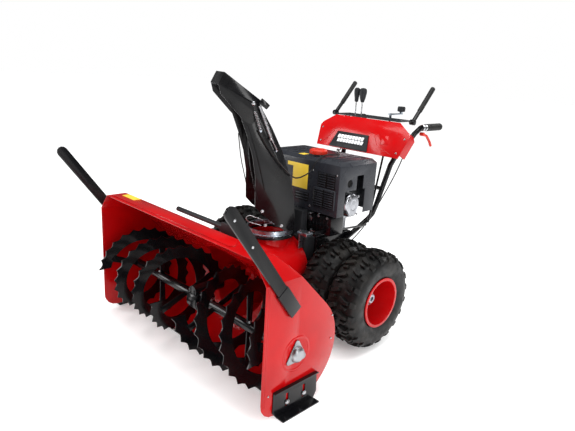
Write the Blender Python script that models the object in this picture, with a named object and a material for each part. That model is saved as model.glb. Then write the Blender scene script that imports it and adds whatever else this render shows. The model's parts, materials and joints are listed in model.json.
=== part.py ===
"""A two-stage walk-behind snow blower: auger bucket, impeller and chute, engine, dual wheels and handles.

Metres, +Z up, the bucket facing -Y. Right and left are as seen by someone facing the bucket, +X to the right.
The origin lies on the floor, under the middle of the machine.
"""

import math

import bmesh
import bpy
from mathutils import Matrix, Vector

# ---------------------------------------------------------------- driving dimensions
GAP = 0.0003  # between touching pieces
RUNNING = 0.0005  # round a shaft in its bearing

BUCKET_WIDTH = 1.070  # over the side plates
BUCKET_TOP = 0.555
SHEET = 0.003
SHOULDER_IN = 0.060
SHOULDER_DOWN = 0.068
PLATE_CORNER_R = 0.060

FLOOR_HEIGHT = 0.015  # of the bucket's floor above the ground
SKID_HEIGHT = 0.106
SKID_WALL = 0.004
SKID_SOLE = 0.034  # width of the sole
SCRAPER_DEPTH = 0.008
SCRAPER_WIDTH = 0.050

AUGER_Y = 0.148  # behind the bucket's front edge
AUGER_R = 0.185
AUGER_TIP_GAP = 0.012  # between the flights and the bucket
RIBBON_WIDTH = 0.058
RIBBON_THICKNESS = 0.004
RIBBON_TURNS = 1.5
HUB_R = 0.019
SHAFT_R = 0.0125

WORM_WHEEL_R = 0.0305
WORM_R = 0.0110
WORM_SHAFT_R = 0.0100
GEARBOX_R = 0.048
GEARBOX_HALF = 0.030

DRUM_R = 0.158
DRUM_REAR = 0.600
IMPELLER_GAP = 0.008
IMPELLER_FRONT = 0.400
IMPELLER_DEPTH = 0.100
BLADE = 0.005

CHUTE_Y = 0.500
CHUTE_TURN = math.radians(-27)  # the chute is stored turned a little to one side
NECK_R = 0.092
NECK_RISE = 0.013  # of the outlet neck above the drum's crown
FLANGE_R = 0.114
FLANGE_THICKNESS = 0.010
RING_R = 0.106
RING_HEIGHT = 0.022
CHUTE_HALF = 0.085
CHUTE_SHEET = 0.003
HINGE_FORWARD = 0.111  # the deflector's hinge, ahead of the chute's axis
HINGE_RISE = 0.5424  # and above the seat of the chute's ring
HINGE_PIN_R = 0.005
HOOD_SHEET = 0.003

AXLE_SETBACK = 0.044  # behind the chassis's front face
AXLE_R = 0.0095
TYRE_R = 0.210
TYRE_WIDTH = 0.150
BEAD_R = 0.103
TYRE_BESIDE_DRUM = 0.014
BETWEEN_TYRES = 0.005

BELT_ROOM = 0.064  # between the drum's back and the chassis
CHASSIS_HALF = 0.137
CHASSIS_LENGTH = 0.236
CHASSIS_TOP = 0.400
CHASSIS_BOTTOM = 0.120
CHASSIS_WALL = 0.004

ENGINE_RIGHT = 0.236
ENGINE_LEFT = -0.215
ENGINE_LENGTH = 0.251
ENGINE_BOTTOM = 0.520
ENGINE_TOP = 0.754
ENGINE_CHAMFER = 0.018
COVER_WALL = 0.004
CRANK_Z = 0.475
ENGINE_PULLEY_R = 0.036
IMPELLER_PULLEY_R = 0.100
PULLEY_WIDTH = 0.022
BELT_THICKNESS = 0.008
BELT_WIDTH = 0.009
FUEL_CAP_R = 0.040
STARTER_R = 0.088

TUBE_R = 0.0125
GRIP_X = 0.235
GRIP_R = 0.0175
GRIP_FRONT = 1.292
GRIP_REAR = 1.420
GRIP_Z = 0.876
DASH_HALF = 0.250
DASH_BOTTOM = (1.050, 0.745)  # y, z of the panel's lower edge
DASH_TOP = (1.125, 0.900)
DASH_DEPTH = 0.052
DASH_WALL = 0.003
DECK_THICKNESS = 0.004
LEVERS = (-0.075, -0.113)  # across the deck: shift lever, deflector lever
LEVER_LENGTH = 0.150
LEVER_R = 0.0035
SLOT_LENGTH = 0.060
CRANK_PLACE = (0.112, 1.160)
CRANK_ROD_R = 0.006
CRANK_REACH = 0.088
CRANK_KNOB_R = 0.018
CHUTE_ROD_R = 0.005

BAR_WIDTH = 0.042
BAR_THICKNESS = 0.010
BAR_TOP = (-0.150, 0.740)  # y, z of the drift cutter's upper end
BAR_FOOT_Y = 0.115
BAR_FOOT_DOWN = 0.102  # below the side plate's bend

# ---------------------------------------------------------------- derived places
HALF = BUCKET_WIDTH / 2
BUCKET_R = AUGER_R + AUGER_TIP_GAP
AUGER_Z = FLOOR_HEIGHT + BUCKET_R
BEND_Z = BUCKET_TOP - SHOULDER_DOWN
SLOPE = AUGER_Y + AUGER_Z + BUCKET_R * math.sqrt(2)  # y + z all along the bucket's sloping back
RIBBON_FIRST = 0.075
RIBBON_LAST = HALF - SHEET - 0.030
IMPELLER_Z = AUGER_Z + WORM_WHEEL_R + WORM_R + RUNNING
NECK_TOP = IMPELLER_Z + DRUM_R + NECK_RISE
RING_Z = NECK_TOP + FLANGE_THICKNESS + 2 * GAP
PULLEY_Y = DRUM_REAR + 0.031
CHASSIS_FRONT = DRUM_REAR + BELT_ROOM
CHASSIS_REAR = CHASSIS_FRONT + CHASSIS_LENGTH
ENGINE_FRONT = CHASSIS_FRONT + 0.001
ENGINE_REAR = ENGINE_FRONT + ENGINE_LENGTH
AXLE_Y = CHASSIS_FRONT + AXLE_SETBACK
INNER_TYRE_X = DRUM_R + SHEET + TYRE_BESIDE_DRUM + TYRE_WIDTH / 2
OUTER_TYRE_X = INNER_TYRE_X + TYRE_WIDTH + BETWEEN_TYRES
FUEL_CAP_PLACE = (0.055, ENGINE_FRONT + 0.060)
BAR_FOOT = (BAR_FOOT_Y, BEND_Z - BAR_FOOT_DOWN)
WORM_END = (0.163, DRUM_REAR + 0.008, NECK_TOP + 0.016)
ROD_JOINT = (0.190, 0.955, NECK_TOP + 0.007)  # behind the engine, between the two chute rods
FRONT_TIP = BAR_TOP[0] - BAR_WIDTH / 2
MIDDLE = (FRONT_TIP + GRIP_REAR) / 2

for old in list(bpy.data.objects):
    bpy.data.objects.remove(old, do_unlink=True)

machine = bpy.data.objects.new("machine", None)
machine.location = (0, -MIDDLE, 0)
bpy.context.scene.collection.objects.link(machine)


# ---------------------------------------------------------------- finishes
def finish(name, colour, roughness, metallic=0.0):
    material = bpy.data.materials.new(name)
    material.use_nodes = True
    shader = material.node_tree.nodes["Principled BSDF"]
    shader.inputs["Base Color"].default_value = (*colour, 1)
    shader.inputs["Roughness"].default_value = roughness
    shader.inputs["Metallic"].default_value = metallic
    return material


RED = finish("red_enamel", (0.62, 0.012, 0.010), 0.25)
BLACK = finish("black_enamel", (0.012, 0.012, 0.014), 0.35)
PLASTIC = finish("black_plastic", (0.020, 0.021, 0.024), 0.50)
RUBBER = finish("black_rubber", (0.016, 0.016, 0.017), 0.80)
ZINC = finish("zinc_plate", (0.70, 0.71, 0.73), 0.35, 0.9)
CHROME = finish("bright_cover", (0.80, 0.81, 0.82), 0.15, 1.0)
ALUMINIUM = finish("cast_aluminium", (0.55, 0.56, 0.57), 0.50, 0.9)
STEEL = finish("bare_steel", (0.50, 0.50, 0.52), 0.40, 0.9)
LIGHT = finish("lamp_lens", (0.75, 0.78, 0.82), 0.20)


# ---------------------------------------------------------------- mesh tools
def prism(outline, low, high, axis="X"):
    """A polygon pushed along an axis. The outline's pairs are (y, z), (x, z) or (x, y) for X, Y or Z."""
    place = {
        "X": lambda a, b, t: (t, a, b),
        "Y": lambda a, b, t: (a, t, b),
        "Z": lambda a, b, t: (a, b, t),
    }[axis]
    bm = bmesh.new()
    base = [bm.verts.new(place(a, b, low)) for a, b in outline]
    top = [bm.verts.new(place(a, b, high)) for a, b in outline]
    bm.faces.new(base)
    bm.faces.new(reversed(top))
    for i in range(len(outline)):
        j = (i + 1) % len(outline)
        bm.faces.new((base[i], base[j], top[j], top[i]))
    bmesh.ops.recalc_face_normals(bm, faces=bm.faces)
    return bm


def block(low, high):
    corners = ((low[1], low[2]), (high[1], low[2]), (high[1], high[2]), (low[1], high[2]))
    return prism(corners, low[0], high[0])


def turned(profile, axis="X", segments=32):
    """A closed profile of (radius, height) pairs turned round an axis; a radius of 0 is a pole."""
    place = {
        "X": lambda r, c, s, h: (h, r * c, r * s),
        "Y": lambda r, c, s, h: (r * s, h, r * c),
        "Z": lambda r, c, s, h: (r * c, r * s, h),
    }[axis]
    bm = bmesh.new()
    rings = []
    for r, h in profile:
        if r == 0:
            rings.append([bm.verts.new(place(0, 1, 0, h))] * segments)
            continue
        angles = [2 * math.pi * i / segments for i in range(segments)]
        rings.append([bm.verts.new(place(r, math.cos(a), math.sin(a), h)) for a in angles])
    count = len(rings)
    for k in range(count):
        lower, upper = rings[k], rings[(k + 1) % count]
        for i in range(segments):
            j = (i + 1) % segments
            corners = []
            for corner in (lower[i], lower[j], upper[j], upper[i]):
                if corner not in corners:
                    corners.append(corner)
            if len(corners) > 2:
                bm.faces.new(corners)
    bmesh.ops.recalc_face_normals(bm, faces=bm.faces)
    return bm


def rod(radius, low, high, axis="X", segments=16):
    return turned([(0, low), (radius, low), (radius, high), (0, high)], axis, segments)


def sleeve(outer, inner, low, high, axis="X", segments=24):
    return turned([(inner, low), (outer, low), (outer, high), (inner, high)], axis, segments)


def swept(points, radius, sides=8):
    """A round bar along a path, its rings carried from point to point without twist."""
    path = [Vector(p) for p in points]
    bm = bmesh.new()
    side = None
    rings = []
    for i, point in enumerate(path):
        ahead = path[min(i + 1, len(path) - 1)] - path[max(i - 1, 0)]
        ahead.normalize()
        if side is None:
            side = ahead.orthogonal().normalized()
        side = (side - ahead * side.dot(ahead)).normalized()
        other = ahead.cross(side)
        ring = []
        for k in range(sides):
            angle = 2 * math.pi * k / sides
            ring.append(bm.verts.new(point + radius * (math.cos(angle) * side + math.sin(angle) * other)))
        rings.append(ring)
    for lower, upper in zip(rings, rings[1:]):
        for k in range(sides):
            j = (k + 1) % sides
            bm.faces.new((lower[k], lower[j], upper[j], upper[k]))
    bm.faces.new(rings[0])
    bm.faces.new(rings[-1])
    bmesh.ops.recalc_face_normals(bm, faces=bm.faces)
    return bm


def smooth_path(knots, steps=6):
    """Points along a Catmull-Rom curve through the knots."""
    knots = [Vector(k) for k in knots]
    ends = [2 * knots[0] - knots[1]] + knots + [2 * knots[-1] - knots[-2]]
    path = []
    for a, b, c, d in zip(ends, ends[1:], ends[2:], ends[3:]):
        for i in range(steps):
            t = i / steps
            square = (2 * a - 5 * b + 4 * c - d) * t**2
            cube = (3 * b - a - 3 * c + d) * t**3
            path.append(0.5 * (2 * b + (c - a) * t + square + cube))
    path.append(knots[-1])
    return path


def moved(bm, x=0, y=0, z=0):
    bmesh.ops.translate(bm, verts=bm.verts, vec=(x, y, z))
    return bm


def turned_by(bm, angle, axis, centre=(0, 0, 0)):
    bmesh.ops.rotate(bm, verts=bm.verts, cent=centre, matrix=Matrix.Rotation(angle, 3, axis))
    return bm


def mirrored(bm):
    """The other side's copy of a piece, across the machine's middle plane."""
    bmesh.ops.scale(bm, verts=bm.verts, vec=(-1, 1, 1))
    bmesh.ops.reverse_faces(bm, faces=bm.faces)
    return bm


def piece(name, bm, material, parent=machine):
    mesh = bpy.data.meshes.new(name)
    bm.to_mesh(mesh)
    bm.free()
    mesh.shade_smooth()
    mesh.set_sharp_from_angle(angle=math.radians(35))
    mesh.materials.append(material)
    made = bpy.data.objects.new(name, mesh)
    made.parent = parent
    bpy.context.scene.collection.objects.link(made)
    return made


def shaped(target, operation, *tools):
    """Joins the tools to the target, or cuts them out of it."""
    for number, bm in enumerate(tools):
        name = f"{target.name}_{operation.lower()}_{number}"
        tool = piece(name, bm, target.data.materials[0], target.parent)
        tool.hide_render = True
        tool.display_type = "WIRE"
        modifier = target.modifiers.new(tool.name, "BOOLEAN")
        modifier.operation = operation
        modifier.solver = "EXACT"
        modifier.object = tool
    return target


def join(target, *tools):
    return shaped(target, "UNION", *tools)


def cut(target, *tools):
    return shaped(target, "DIFFERENCE", *tools)


def pivot(name, location, parent=machine, rotation=(0, 0, 0)):
    """An empty on a joint's axis."""
    empty = bpy.data.objects.new(name, None)
    empty.location = location
    empty.rotation_euler = rotation
    empty.parent = parent
    bpy.context.scene.collection.objects.link(empty)
    return empty


# ---------------------------------------------------------------- bucket
def bucket_outline(offset=0.0, segments=14):
    """The bucket's outer side view: flat top, a slope at 45 degrees, then the round back and floor."""
    radius = BUCKET_R + offset
    top = BUCKET_TOP + offset
    slope = SLOPE + offset * math.sqrt(2)
    points = [(0.0, top), (slope - top, top)]
    for i in range(segments + 1):
        angle = math.radians(45 - 135 * i / segments)
        points.append((AUGER_Y + radius * math.cos(angle), AUGER_Z + radius * math.sin(angle)))
    return points


def shoulder_cutter(side, clearance):
    """Removes what lies outside one shoulder's plane, moved in by a clearance."""
    normal = Vector((SHOULDER_DOWN, SHOULDER_IN)).normalized()
    start = Vector((HALF, BEND_Z)) - normal * clearance
    along = Vector((-SHOULDER_IN, SHOULDER_DOWN)).normalized()
    reach = 0.3
    corners = [start - along * reach, start + along * reach]
    corners += [corners[1] + normal * reach, corners[0] + normal * reach]
    return prism([(side * x, z) for x, z in corners], -0.1, 0.6, "Y")


def plate_outline():
    """The flat part of a side plate: up the round back, down the front edge past a round lower corner."""
    corner = []
    steps = 4
    for i in range(steps + 1):
        angle = math.radians(270 - 90 * i / steps)
        y = PLATE_CORNER_R * (1 + math.cos(angle))
        z = FLOOR_HEIGHT + PLATE_CORNER_R * (1 + math.sin(angle))
        corner.append((y, z))
    return [(SLOPE - BEND_Z, BEND_Z)] + bucket_outline()[2:] + corner + [(0.0, BEND_Z)]


def make_bucket():
    outer = bucket_outline()
    inner = bucket_outline(-SHEET)
    floor_front = AUGER_Y - 0.010
    section = outer + [(floor_front, outer[-1][1]), (floor_front, inner[-1][1])] + inner[::-1]
    reach = HALF - SHEET - GAP
    wrap = piece("bucket_wrap", prism(section, -reach, reach), RED)
    inside = SHEET + GAP
    opening = moved(rod(DRUM_R, 0.15, 0.5, "Y", 32), z=IMPELLER_Z)
    cut(wrap, shoulder_cutter(1, inside), shoulder_cutter(-1, inside), opening)

    for side, name in ((1, "bucket_side_right"), (-1, "bucket_side_left")):
        plate = bmesh.new()
        verts = [plate.verts.new((HALF, y, z)) for y, z in plate_outline()]
        plate.faces.new(verts)
        inner_x = HALF - SHOULDER_IN
        back = plate.verts.new((inner_x, SLOPE - BUCKET_TOP, BUCKET_TOP))
        front = plate.verts.new((inner_x, 0.0, BUCKET_TOP))
        plate.faces.new((verts[-1], verts[0], back, front))
        bmesh.ops.recalc_face_normals(plate, faces=plate.faces)
        if plate.faces[:][0].normal.x < 0:
            bmesh.ops.reverse_faces(plate, faces=plate.faces)
        if side < 0:
            mirrored(plate)
        made = piece(name, plate, RED)
        thick = made.modifiers.new("sheet", "SOLIDIFY")
        thick.thickness = SHEET
        thick.offset = -1
        thick.solidify_mode = "NON_MANIFOLD"
        thick.nonmanifold_thickness_mode = "CONSTRAINTS"
        thick.nonmanifold_boundary_mode = "FLAT"
        bore = moved(rod(SHAFT_R + RUNNING, -HALF - 0.05, HALF + 0.05, "X", 20), 0, AUGER_Y, AUGER_Z)
        cut(made, bore)

    blade_front = AUGER_Y - 0.022
    blade_top = FLOOR_HEIGHT - GAP
    low = (-reach, blade_front, blade_top - SCRAPER_DEPTH)
    high = (reach, blade_front + SCRAPER_WIDTH, blade_top)
    scraper = block(low, high)
    piece("scraper_blade", scraper, BLACK)


def make_skids():
    """Bent steel shoes: an upright plate with two height slots, a flat sole turned out and a narrow lip."""
    front, back = 0.050, 0.256
    sole_front, sole_back = 0.072, 0.246
    lip_top = SKID_HEIGHT
    outline = [
        (front, 0.028),
        (sole_front, 0.0),
        (sole_back, 0.0),
        (back + 0.006, 0.026),
        (back, lip_top),
        (front, lip_top),
    ]
    for side, name in ((1, "skid_shoe_right"), (-1, "skid_shoe_left")):
        face = HALF + GAP
        shoe = prism(outline, face, face + SKID_WALL)
        sole = block((face, sole_front, 0.0), (face + SKID_SOLE, sole_back, SKID_WALL + 0.001))
        lip = block((face, front, lip_top - SKID_WALL), (face + 0.014, back, lip_top))
        slots = []
        for y in (0.115, 0.195):
            slots.append(block((face - 0.01, y - 0.006, 0.030), (face + 0.02, y + 0.006, 0.080)))
        if side < 0:
            shoe, sole, lip = mirrored(shoe), mirrored(sole), mirrored(lip)
            slots = [mirrored(slot) for slot in slots]
        made = piece(name, shoe, BLACK)
        join(made, sole, lip)
        cut(made, *slots)


def make_drift_cutters():
    foot = Vector(BAR_FOOT)
    top = Vector(BAR_TOP)
    along = (top - foot).normalized()
    across = Vector((-along.y, along.x))
    half = BAR_WIDTH / 2
    outline = [foot - across * half, foot + across * half, top + across * half]
    steps = 6
    for i in range(1, steps):
        angle = math.pi * i / steps
        outline.append(top + across * half * math.cos(angle) + along * half * math.sin(angle))
    outline.append(top - across * half)
    socket_half = half + 0.003
    socket_end = foot + along * 0.095
    socket_foot = foot - along * 0.012
    socket = [
        socket_foot - across * socket_half,
        socket_foot + across * socket_half,
        socket_end + across * socket_half,
        socket_end - across * socket_half,
    ]
    inner = HALF + 0.002
    for side, name in ((1, "drift_cutter_right"), (-1, "drift_cutter_left")):
        bar = prism(outline, inner, inner + BAR_THICKNESS)
        holder = prism(socket, HALF + GAP, inner + BAR_THICKNESS + 0.003)
        if side < 0:
            bar, holder = mirrored(bar), mirrored(holder)
        join(piece(name, bar, BLACK), holder)


def bearing_flange():
    """A three-cornered flange round the auger's axis, its corners round about its bolts."""
    bolt_circle = 0.038
    corner_r = 0.012
    outline = []
    for corner in range(3):
        bolt = math.radians(90 + 120 * corner)
        for part in (-1, 0, 1):
            angle = bolt + math.radians(35 * part)
            y = AUGER_Y + bolt_circle * math.cos(bolt) + corner_r * math.cos(angle)
            z = AUGER_Z + bolt_circle * math.sin(bolt) + corner_r * math.sin(angle)
            outline.append((y, z))
    return outline


def make_bearing_covers():
    face = HALF + GAP
    dome_end = face + 0.020
    for side, name in ((1, "bearing_cover_right"), (-1, "bearing_cover_left")):
        cover = prism(bearing_flange(), face, face + 0.004)
        dome = turned([(0, face), (0.029, face), (0.026, face + 0.014), (0.018, dome_end), (0, dome_end)])
        dome = moved(dome, 0, AUGER_Y, AUGER_Z)
        pocket = moved(rod(SHAFT_R + RUNNING, face - 0.01, face + 0.012, "X", 20), 0, AUGER_Y, AUGER_Z)
        if side < 0:
            cover, dome, pocket = mirrored(cover), mirrored(dome), mirrored(pocket)
        made = piece(name, cover, ZINC)
        join(made, dome)
        cut(made, pocket)


# ---------------------------------------------------------------- impeller drum and chute outlet
def make_drum():
    sheet = SHEET
    outer = moved(rod(DRUM_R + sheet, 0.10, DRUM_REAR, "Y", 32), z=IMPELLER_Z)
    drum = piece("impeller_drum", outer, RED)
    neck = moved(rod(NECK_R, IMPELLER_Z + 0.033, NECK_TOP, "Z", 30), y=CHUTE_Y)
    envelope = bucket_outline(GAP)
    envelope += [(-0.1, envelope[-1][1]), (-0.1, envelope[0][1])]
    bearing = moved(rod(SHAFT_R + RUNNING, 0.0, 0.7, "Y", 20), z=IMPELLER_Z)
    cut(drum, prism(envelope, -HALF, HALF), bearing)
    join(drum, neck)
    inside = moved(rod(DRUM_R, 0.0, DRUM_REAR - sheet, "Y", 32), z=IMPELLER_Z)
    throat = moved(rod(NECK_R - sheet, IMPELLER_Z + 0.041, NECK_TOP + 0.01, "Z", 30), y=CHUTE_Y)
    cut(drum, inside, throat)

    low = NECK_TOP + GAP
    flange = moved(sleeve(FLANGE_R, NECK_R - sheet, low, low + FLANGE_THICKNESS, "Z", 32), y=CHUTE_Y)
    piece("chute_flange", flange, BLACK)


def make_gearbox():
    body = rod(GEARBOX_R, -GEARBOX_HALF, GEARBOX_HALF, "X", 24)
    box = piece("auger_gearbox", moved(body, 0, AUGER_Y, AUGER_Z), BLACK)
    bosses = moved(rod(0.024, -0.052, 0.052, "X", 20), 0, AUGER_Y, AUGER_Z)
    snout = moved(rod(0.023, AUGER_Y - 0.040, AUGER_Y + 0.100, "Y", 20), z=IMPELLER_Z)
    join(box, bosses, snout)
    wheel_room = moved(rod(0.035, -0.012, 0.012, "X", 20), 0, AUGER_Y, AUGER_Z)
    worm_room = moved(rod(0.0155, AUGER_Y - 0.030, AUGER_Y + 0.090, "Y", 16), z=IMPELLER_Z)
    shaft_bore = moved(rod(SHAFT_R + RUNNING, -0.2, 0.2, "X", 16), 0, AUGER_Y, AUGER_Z)
    impeller_bore = moved(rod(WORM_SHAFT_R + RUNNING, AUGER_Y, 0.4, "Y", 16), z=IMPELLER_Z)
    cut(box, wheel_room, worm_room, shaft_bore, impeller_bore)


# ---------------------------------------------------------------- augers
def ribbon(start_angle):
    """One serrated flight of the right-hand auger: a strip wound as a helix that feeds towards the middle."""
    steps = 40
    inner = AUGER_R - RIBBON_WIDTH
    bm = bmesh.new()
    rows = []
    for i in range(steps + 1):
        t = i / steps
        x = RIBBON_FIRST + (RIBBON_LAST - RIBBON_FIRST) * t
        angle = start_angle + 2 * math.pi * RIBBON_TURNS * t
        row = []
        for r, dx in ((inner, 0), (AUGER_R, 0), (AUGER_R, RIBBON_THICKNESS), (inner, RIBBON_THICKNESS)):
            row.append(bm.verts.new((x + dx, r * math.cos(angle), r * math.sin(angle))))
        rows.append(row)
    for a, b in zip(rows, rows[1:]):
        for k in range(4):
            j = (k + 1) % 4
            bm.faces.new((a[k], a[j], b[j], b[k]))
    bm.faces.new(rows[0])
    bm.faces.new(rows[-1])
    bmesh.ops.triangulate(bm, faces=bm.faces)
    bmesh.ops.recalc_face_normals(bm, faces=bm.faces)
    return bm


def arm(x, angle):
    """A flat arm from the hub to a flight."""
    half, thin = 0.012, 0.003
    bm = block((x - thin, HUB_R - 0.0025, -half), (x + thin, AUGER_R - RIBBON_WIDTH * 0.6, half))
    return turned_by(bm, angle, "X")


def make_augers():
    spin = pivot("auger_axis", (0, AUGER_Y, AUGER_Z))
    shaft = piece("auger_shaft", rod(SHAFT_R, -HALF - 0.006, HALF + 0.006, "X", 16), STEEL, spin)
    join(shaft, rod(WORM_WHEEL_R, -0.008, 0.008, "X", 24))
    for side, name in ((1, "auger_right"), (-1, "auger_left")):
        hub = sleeve(HUB_R, SHAFT_R + GAP, RIBBON_FIRST - 0.015, RIBBON_LAST + 0.008, "X", 16)
        tools = []
        for start in (0.0, math.pi):
            tools.append(ribbon(start))
            for t in (0.04, 0.50, 0.96):
                x = RIBBON_FIRST + (RIBBON_LAST - RIBBON_FIRST) * t + RIBBON_THICKNESS / 2
                tools.append(arm(x, start + 2 * math.pi * RIBBON_TURNS * t))
        if side < 0:
            hub = mirrored(hub)
            tools = [mirrored(tool) for tool in tools]
        join(piece(name, hub, BLACK, spin), *tools)


def make_impeller():
    spin = pivot("impeller_axis", (0, 0, IMPELLER_Z))
    shaft_tail = DRUM_REAR + 0.056
    shaft = rod(SHAFT_R, AUGER_Y + 0.110, shaft_tail, "Y", 16)
    impeller = piece("impeller", shaft, BLACK, spin)
    nose = rod(WORM_SHAFT_R, AUGER_Y - 0.022, AUGER_Y + 0.115, "Y", 16)
    worm = rod(WORM_R, AUGER_Y - 0.020, AUGER_Y + 0.020, "Y", 16)
    hub = rod(0.030, IMPELLER_FRONT, IMPELLER_FRONT + IMPELLER_DEPTH + 0.010, "Y", 20)
    tools = [nose, worm, hub]
    reach = DRUM_R - IMPELLER_GAP
    for i in range(4):
        blade = block(
            (-BLADE / 2, IMPELLER_FRONT + 0.004, 0.020), (BLADE / 2, IMPELLER_FRONT + IMPELLER_DEPTH, reach)
        )
        tools.append(turned_by(blade, i * math.pi / 2, "Y"))
    tools.append(rod(IMPELLER_PULLEY_R, PULLEY_Y, PULLEY_Y + PULLEY_WIDTH, "Y", 32))
    join(impeller, *tools)
    groove = BELT_THICKNESS + GAP
    cut(impeller, groove_cutter(IMPELLER_PULLEY_R, groove, 32))

    turn = pivot("crankshaft_axis", (0, 0, CRANK_Z))
    crank = piece("crankshaft", rod(SHAFT_R, PULLEY_Y, CHASSIS_FRONT + 0.136, "Y", 16), STEEL, turn)
    join(crank, rod(ENGINE_PULLEY_R, PULLEY_Y, PULLEY_Y + PULLEY_WIDTH, "Y", 24))
    cut(crank, groove_cutter(ENGINE_PULLEY_R, groove, 24))

    belt_front = PULLEY_Y + (PULLEY_WIDTH - BELT_WIDTH) / 2
    belt_back = belt_front + BELT_WIDTH
    outside = belt_outline(2 * GAP + BELT_THICKNESS - groove)
    belt = piece("drive_belt", prism(outside, belt_front, belt_back, "Y"), RUBBER)
    cut(belt, prism(belt_outline(2 * GAP - groove), belt_front - 0.01, belt_back + 0.01, "Y"))


def groove_cutter(radius, depth, segments):
    """The belt's groove round a pulley, a little wider than the belt on each side."""
    middle = PULLEY_Y + PULLEY_WIDTH / 2
    half = BELT_WIDTH / 2 + 0.0015
    return sleeve(radius + 0.02, radius - depth, middle - half, middle + half, "Y", segments)


def belt_outline(offset, segments=22):
    """Two half circles joined by the belt's straight runs."""
    low_r = IMPELLER_PULLEY_R + offset
    high_r = ENGINE_PULLEY_R + offset
    lean = math.asin((low_r - high_r) / (CRANK_Z - IMPELLER_Z))
    points = []
    for centre, radius, first, last in (
        (CRANK_Z, high_r, lean, math.pi - lean),
        (IMPELLER_Z, low_r, math.pi - lean, 2 * math.pi + lean),
    ):
        for i in range(segments + 1):
            angle = first + (last - first) * i / segments
            points.append((radius * math.cos(angle), centre + radius * math.sin(angle)))
    return points


# ---------------------------------------------------------------- chute and deflector
def side_view(points):
    """(forward, rise) pairs seen from the side, as (y, z) about the chute's axis and its ring's seat."""
    return [(-forward, rise) for forward, rise in points]


def make_chute():
    turn = pivot("chute_axis", (0, CHUTE_Y, RING_Z), rotation=(0, 0, CHUTE_TURN))
    profile = [
        (NECK_R - SHEET, GAP),
        (RING_R, GAP),
        (RING_R, GAP + 0.006),
        (NECK_R + 0.006, GAP + 0.006),
        (NECK_R + 0.006, RING_HEIGHT),
        (NECK_R - SHEET, RING_HEIGHT),
    ]
    piece("chute_ring", turned(profile, "Z", 32), ZINC, turn)

    foot = RING_HEIGHT + GAP
    back = [
        (-0.088, foot),
        (-0.086, 0.084),
        (-0.078, 0.164),
        (-0.057, 0.250),
        (-0.017, 0.357),
        (0.030, 0.449),
        (0.085, 0.540),
    ]
    wall = back + [
        (0.110, 0.562),
        (0.150, 0.549),
        (0.160, 0.494),
        (0.130, 0.414),
        (0.105, 0.334),
        (0.091, 0.254),
        (0.088, 0.184),
        (0.087, 0.129),
        (0.060, 0.099),
        (-0.010, foot + 0.023),
        (-0.045, foot),
    ]
    lean = 0.35  # radians, the mean lean of the back wall
    inward = [(forward + CHUTE_SHEET / math.cos(lean), rise) for forward, rise in back]
    chute = piece("chute_body", prism(side_view(wall), CHUTE_HALF - CHUTE_SHEET, CHUTE_HALF), BLACK, turn)
    left = prism(side_view(wall), -CHUTE_HALF, -CHUTE_HALF + CHUTE_SHEET)
    spine = prism(side_view(back + inward[::-1]), -CHUTE_HALF + 0.001, CHUTE_HALF - 0.001)
    join(chute, left, spine)
    pin_bore = moved(rod(HINGE_PIN_R + GAP, -0.2, 0.2, "X", 12), 0, -HINGE_FORWARD, HINGE_RISE)
    cut(chute, pin_bore)

    tilt = pivot("deflector_axis", (0, -HINGE_FORWARD, HINGE_RISE), turn)
    hood_side = [
        (-0.029, 0.012),
        (-0.016, -0.043),
        (-0.003, -0.078),
        (0.011, -0.079),
        (0.031, -0.070),
        (0.057, -0.045),
        (0.128, 0.031),
        (0.137, 0.068),
        (0.115, 0.111),
    ]
    about_hinge = side_view(hood_side)
    low = CHUTE_HALF + GAP
    high = low + HOOD_SHEET
    hood = piece("deflector_hood", prism(about_hinge, low, high), BLACK, tilt)
    top_edge = [about_hinge[0], about_hinge[8], about_hinge[7]]
    lowered = [(y, z - 1.5 * HOOD_SHEET) for y, z in top_edge]
    join(
        hood,
        prism(about_hinge, -high, -low),
        prism(top_edge + lowered[::-1], -high + 0.001, high - 0.001),
        rod(HINGE_PIN_R, -high - 0.004, high + 0.004, "X", 12),
        moved(rod(0.003, high - 0.001, high + 0.012, "X", 10), 0, 0.006, -0.031),
    )


def wall_point(forward, rise, out):
    """A point beside the chute's right wall, in machine coordinates."""
    along = Vector((math.sin(CHUTE_TURN), -math.cos(CHUTE_TURN), 0))
    across = Vector((math.cos(CHUTE_TURN), math.sin(CHUTE_TURN), 0))
    return Vector((0, CHUTE_Y, RING_Z + rise)) + along * forward + across * out


def make_deflector_pull():
    out = CHUTE_HALF + 0.012
    spring_top = wall_point(0.114, 0.504, out)
    spring_foot = wall_point(0.092, 0.444, out)
    piece("deflector_spring", swept([spring_top, spring_foot], 0.0055, 10), ZINC)
    ferrule = wall_point(0.090, 0.440, out)
    knots = [
        ferrule,
        wall_point(0.053, 0.380, out),
        wall_point(-0.010, 0.304, out + 0.004),
        wall_point(-0.060, 0.258, out + 0.002),
        (0.108, 0.550, 0.682),
        (0.096, 0.600, 0.684),
        (0.094, 0.645, 0.701),
        (0.112, 0.650, 0.740),
        (0.116, 0.700, 0.766),
        (0.108, 0.800, 0.762),
        (0.020, 0.900, 0.765),
        (-0.060, 0.990, 0.742),
        (-0.115, 1.085, 0.735),
        (-0.135, 1.125, 0.780),
        (-0.126, 1.155, 0.840),
    ]
    piece("deflector_cable", swept(smooth_path(knots, 5), 0.0030, 6), RUBBER)


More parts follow.
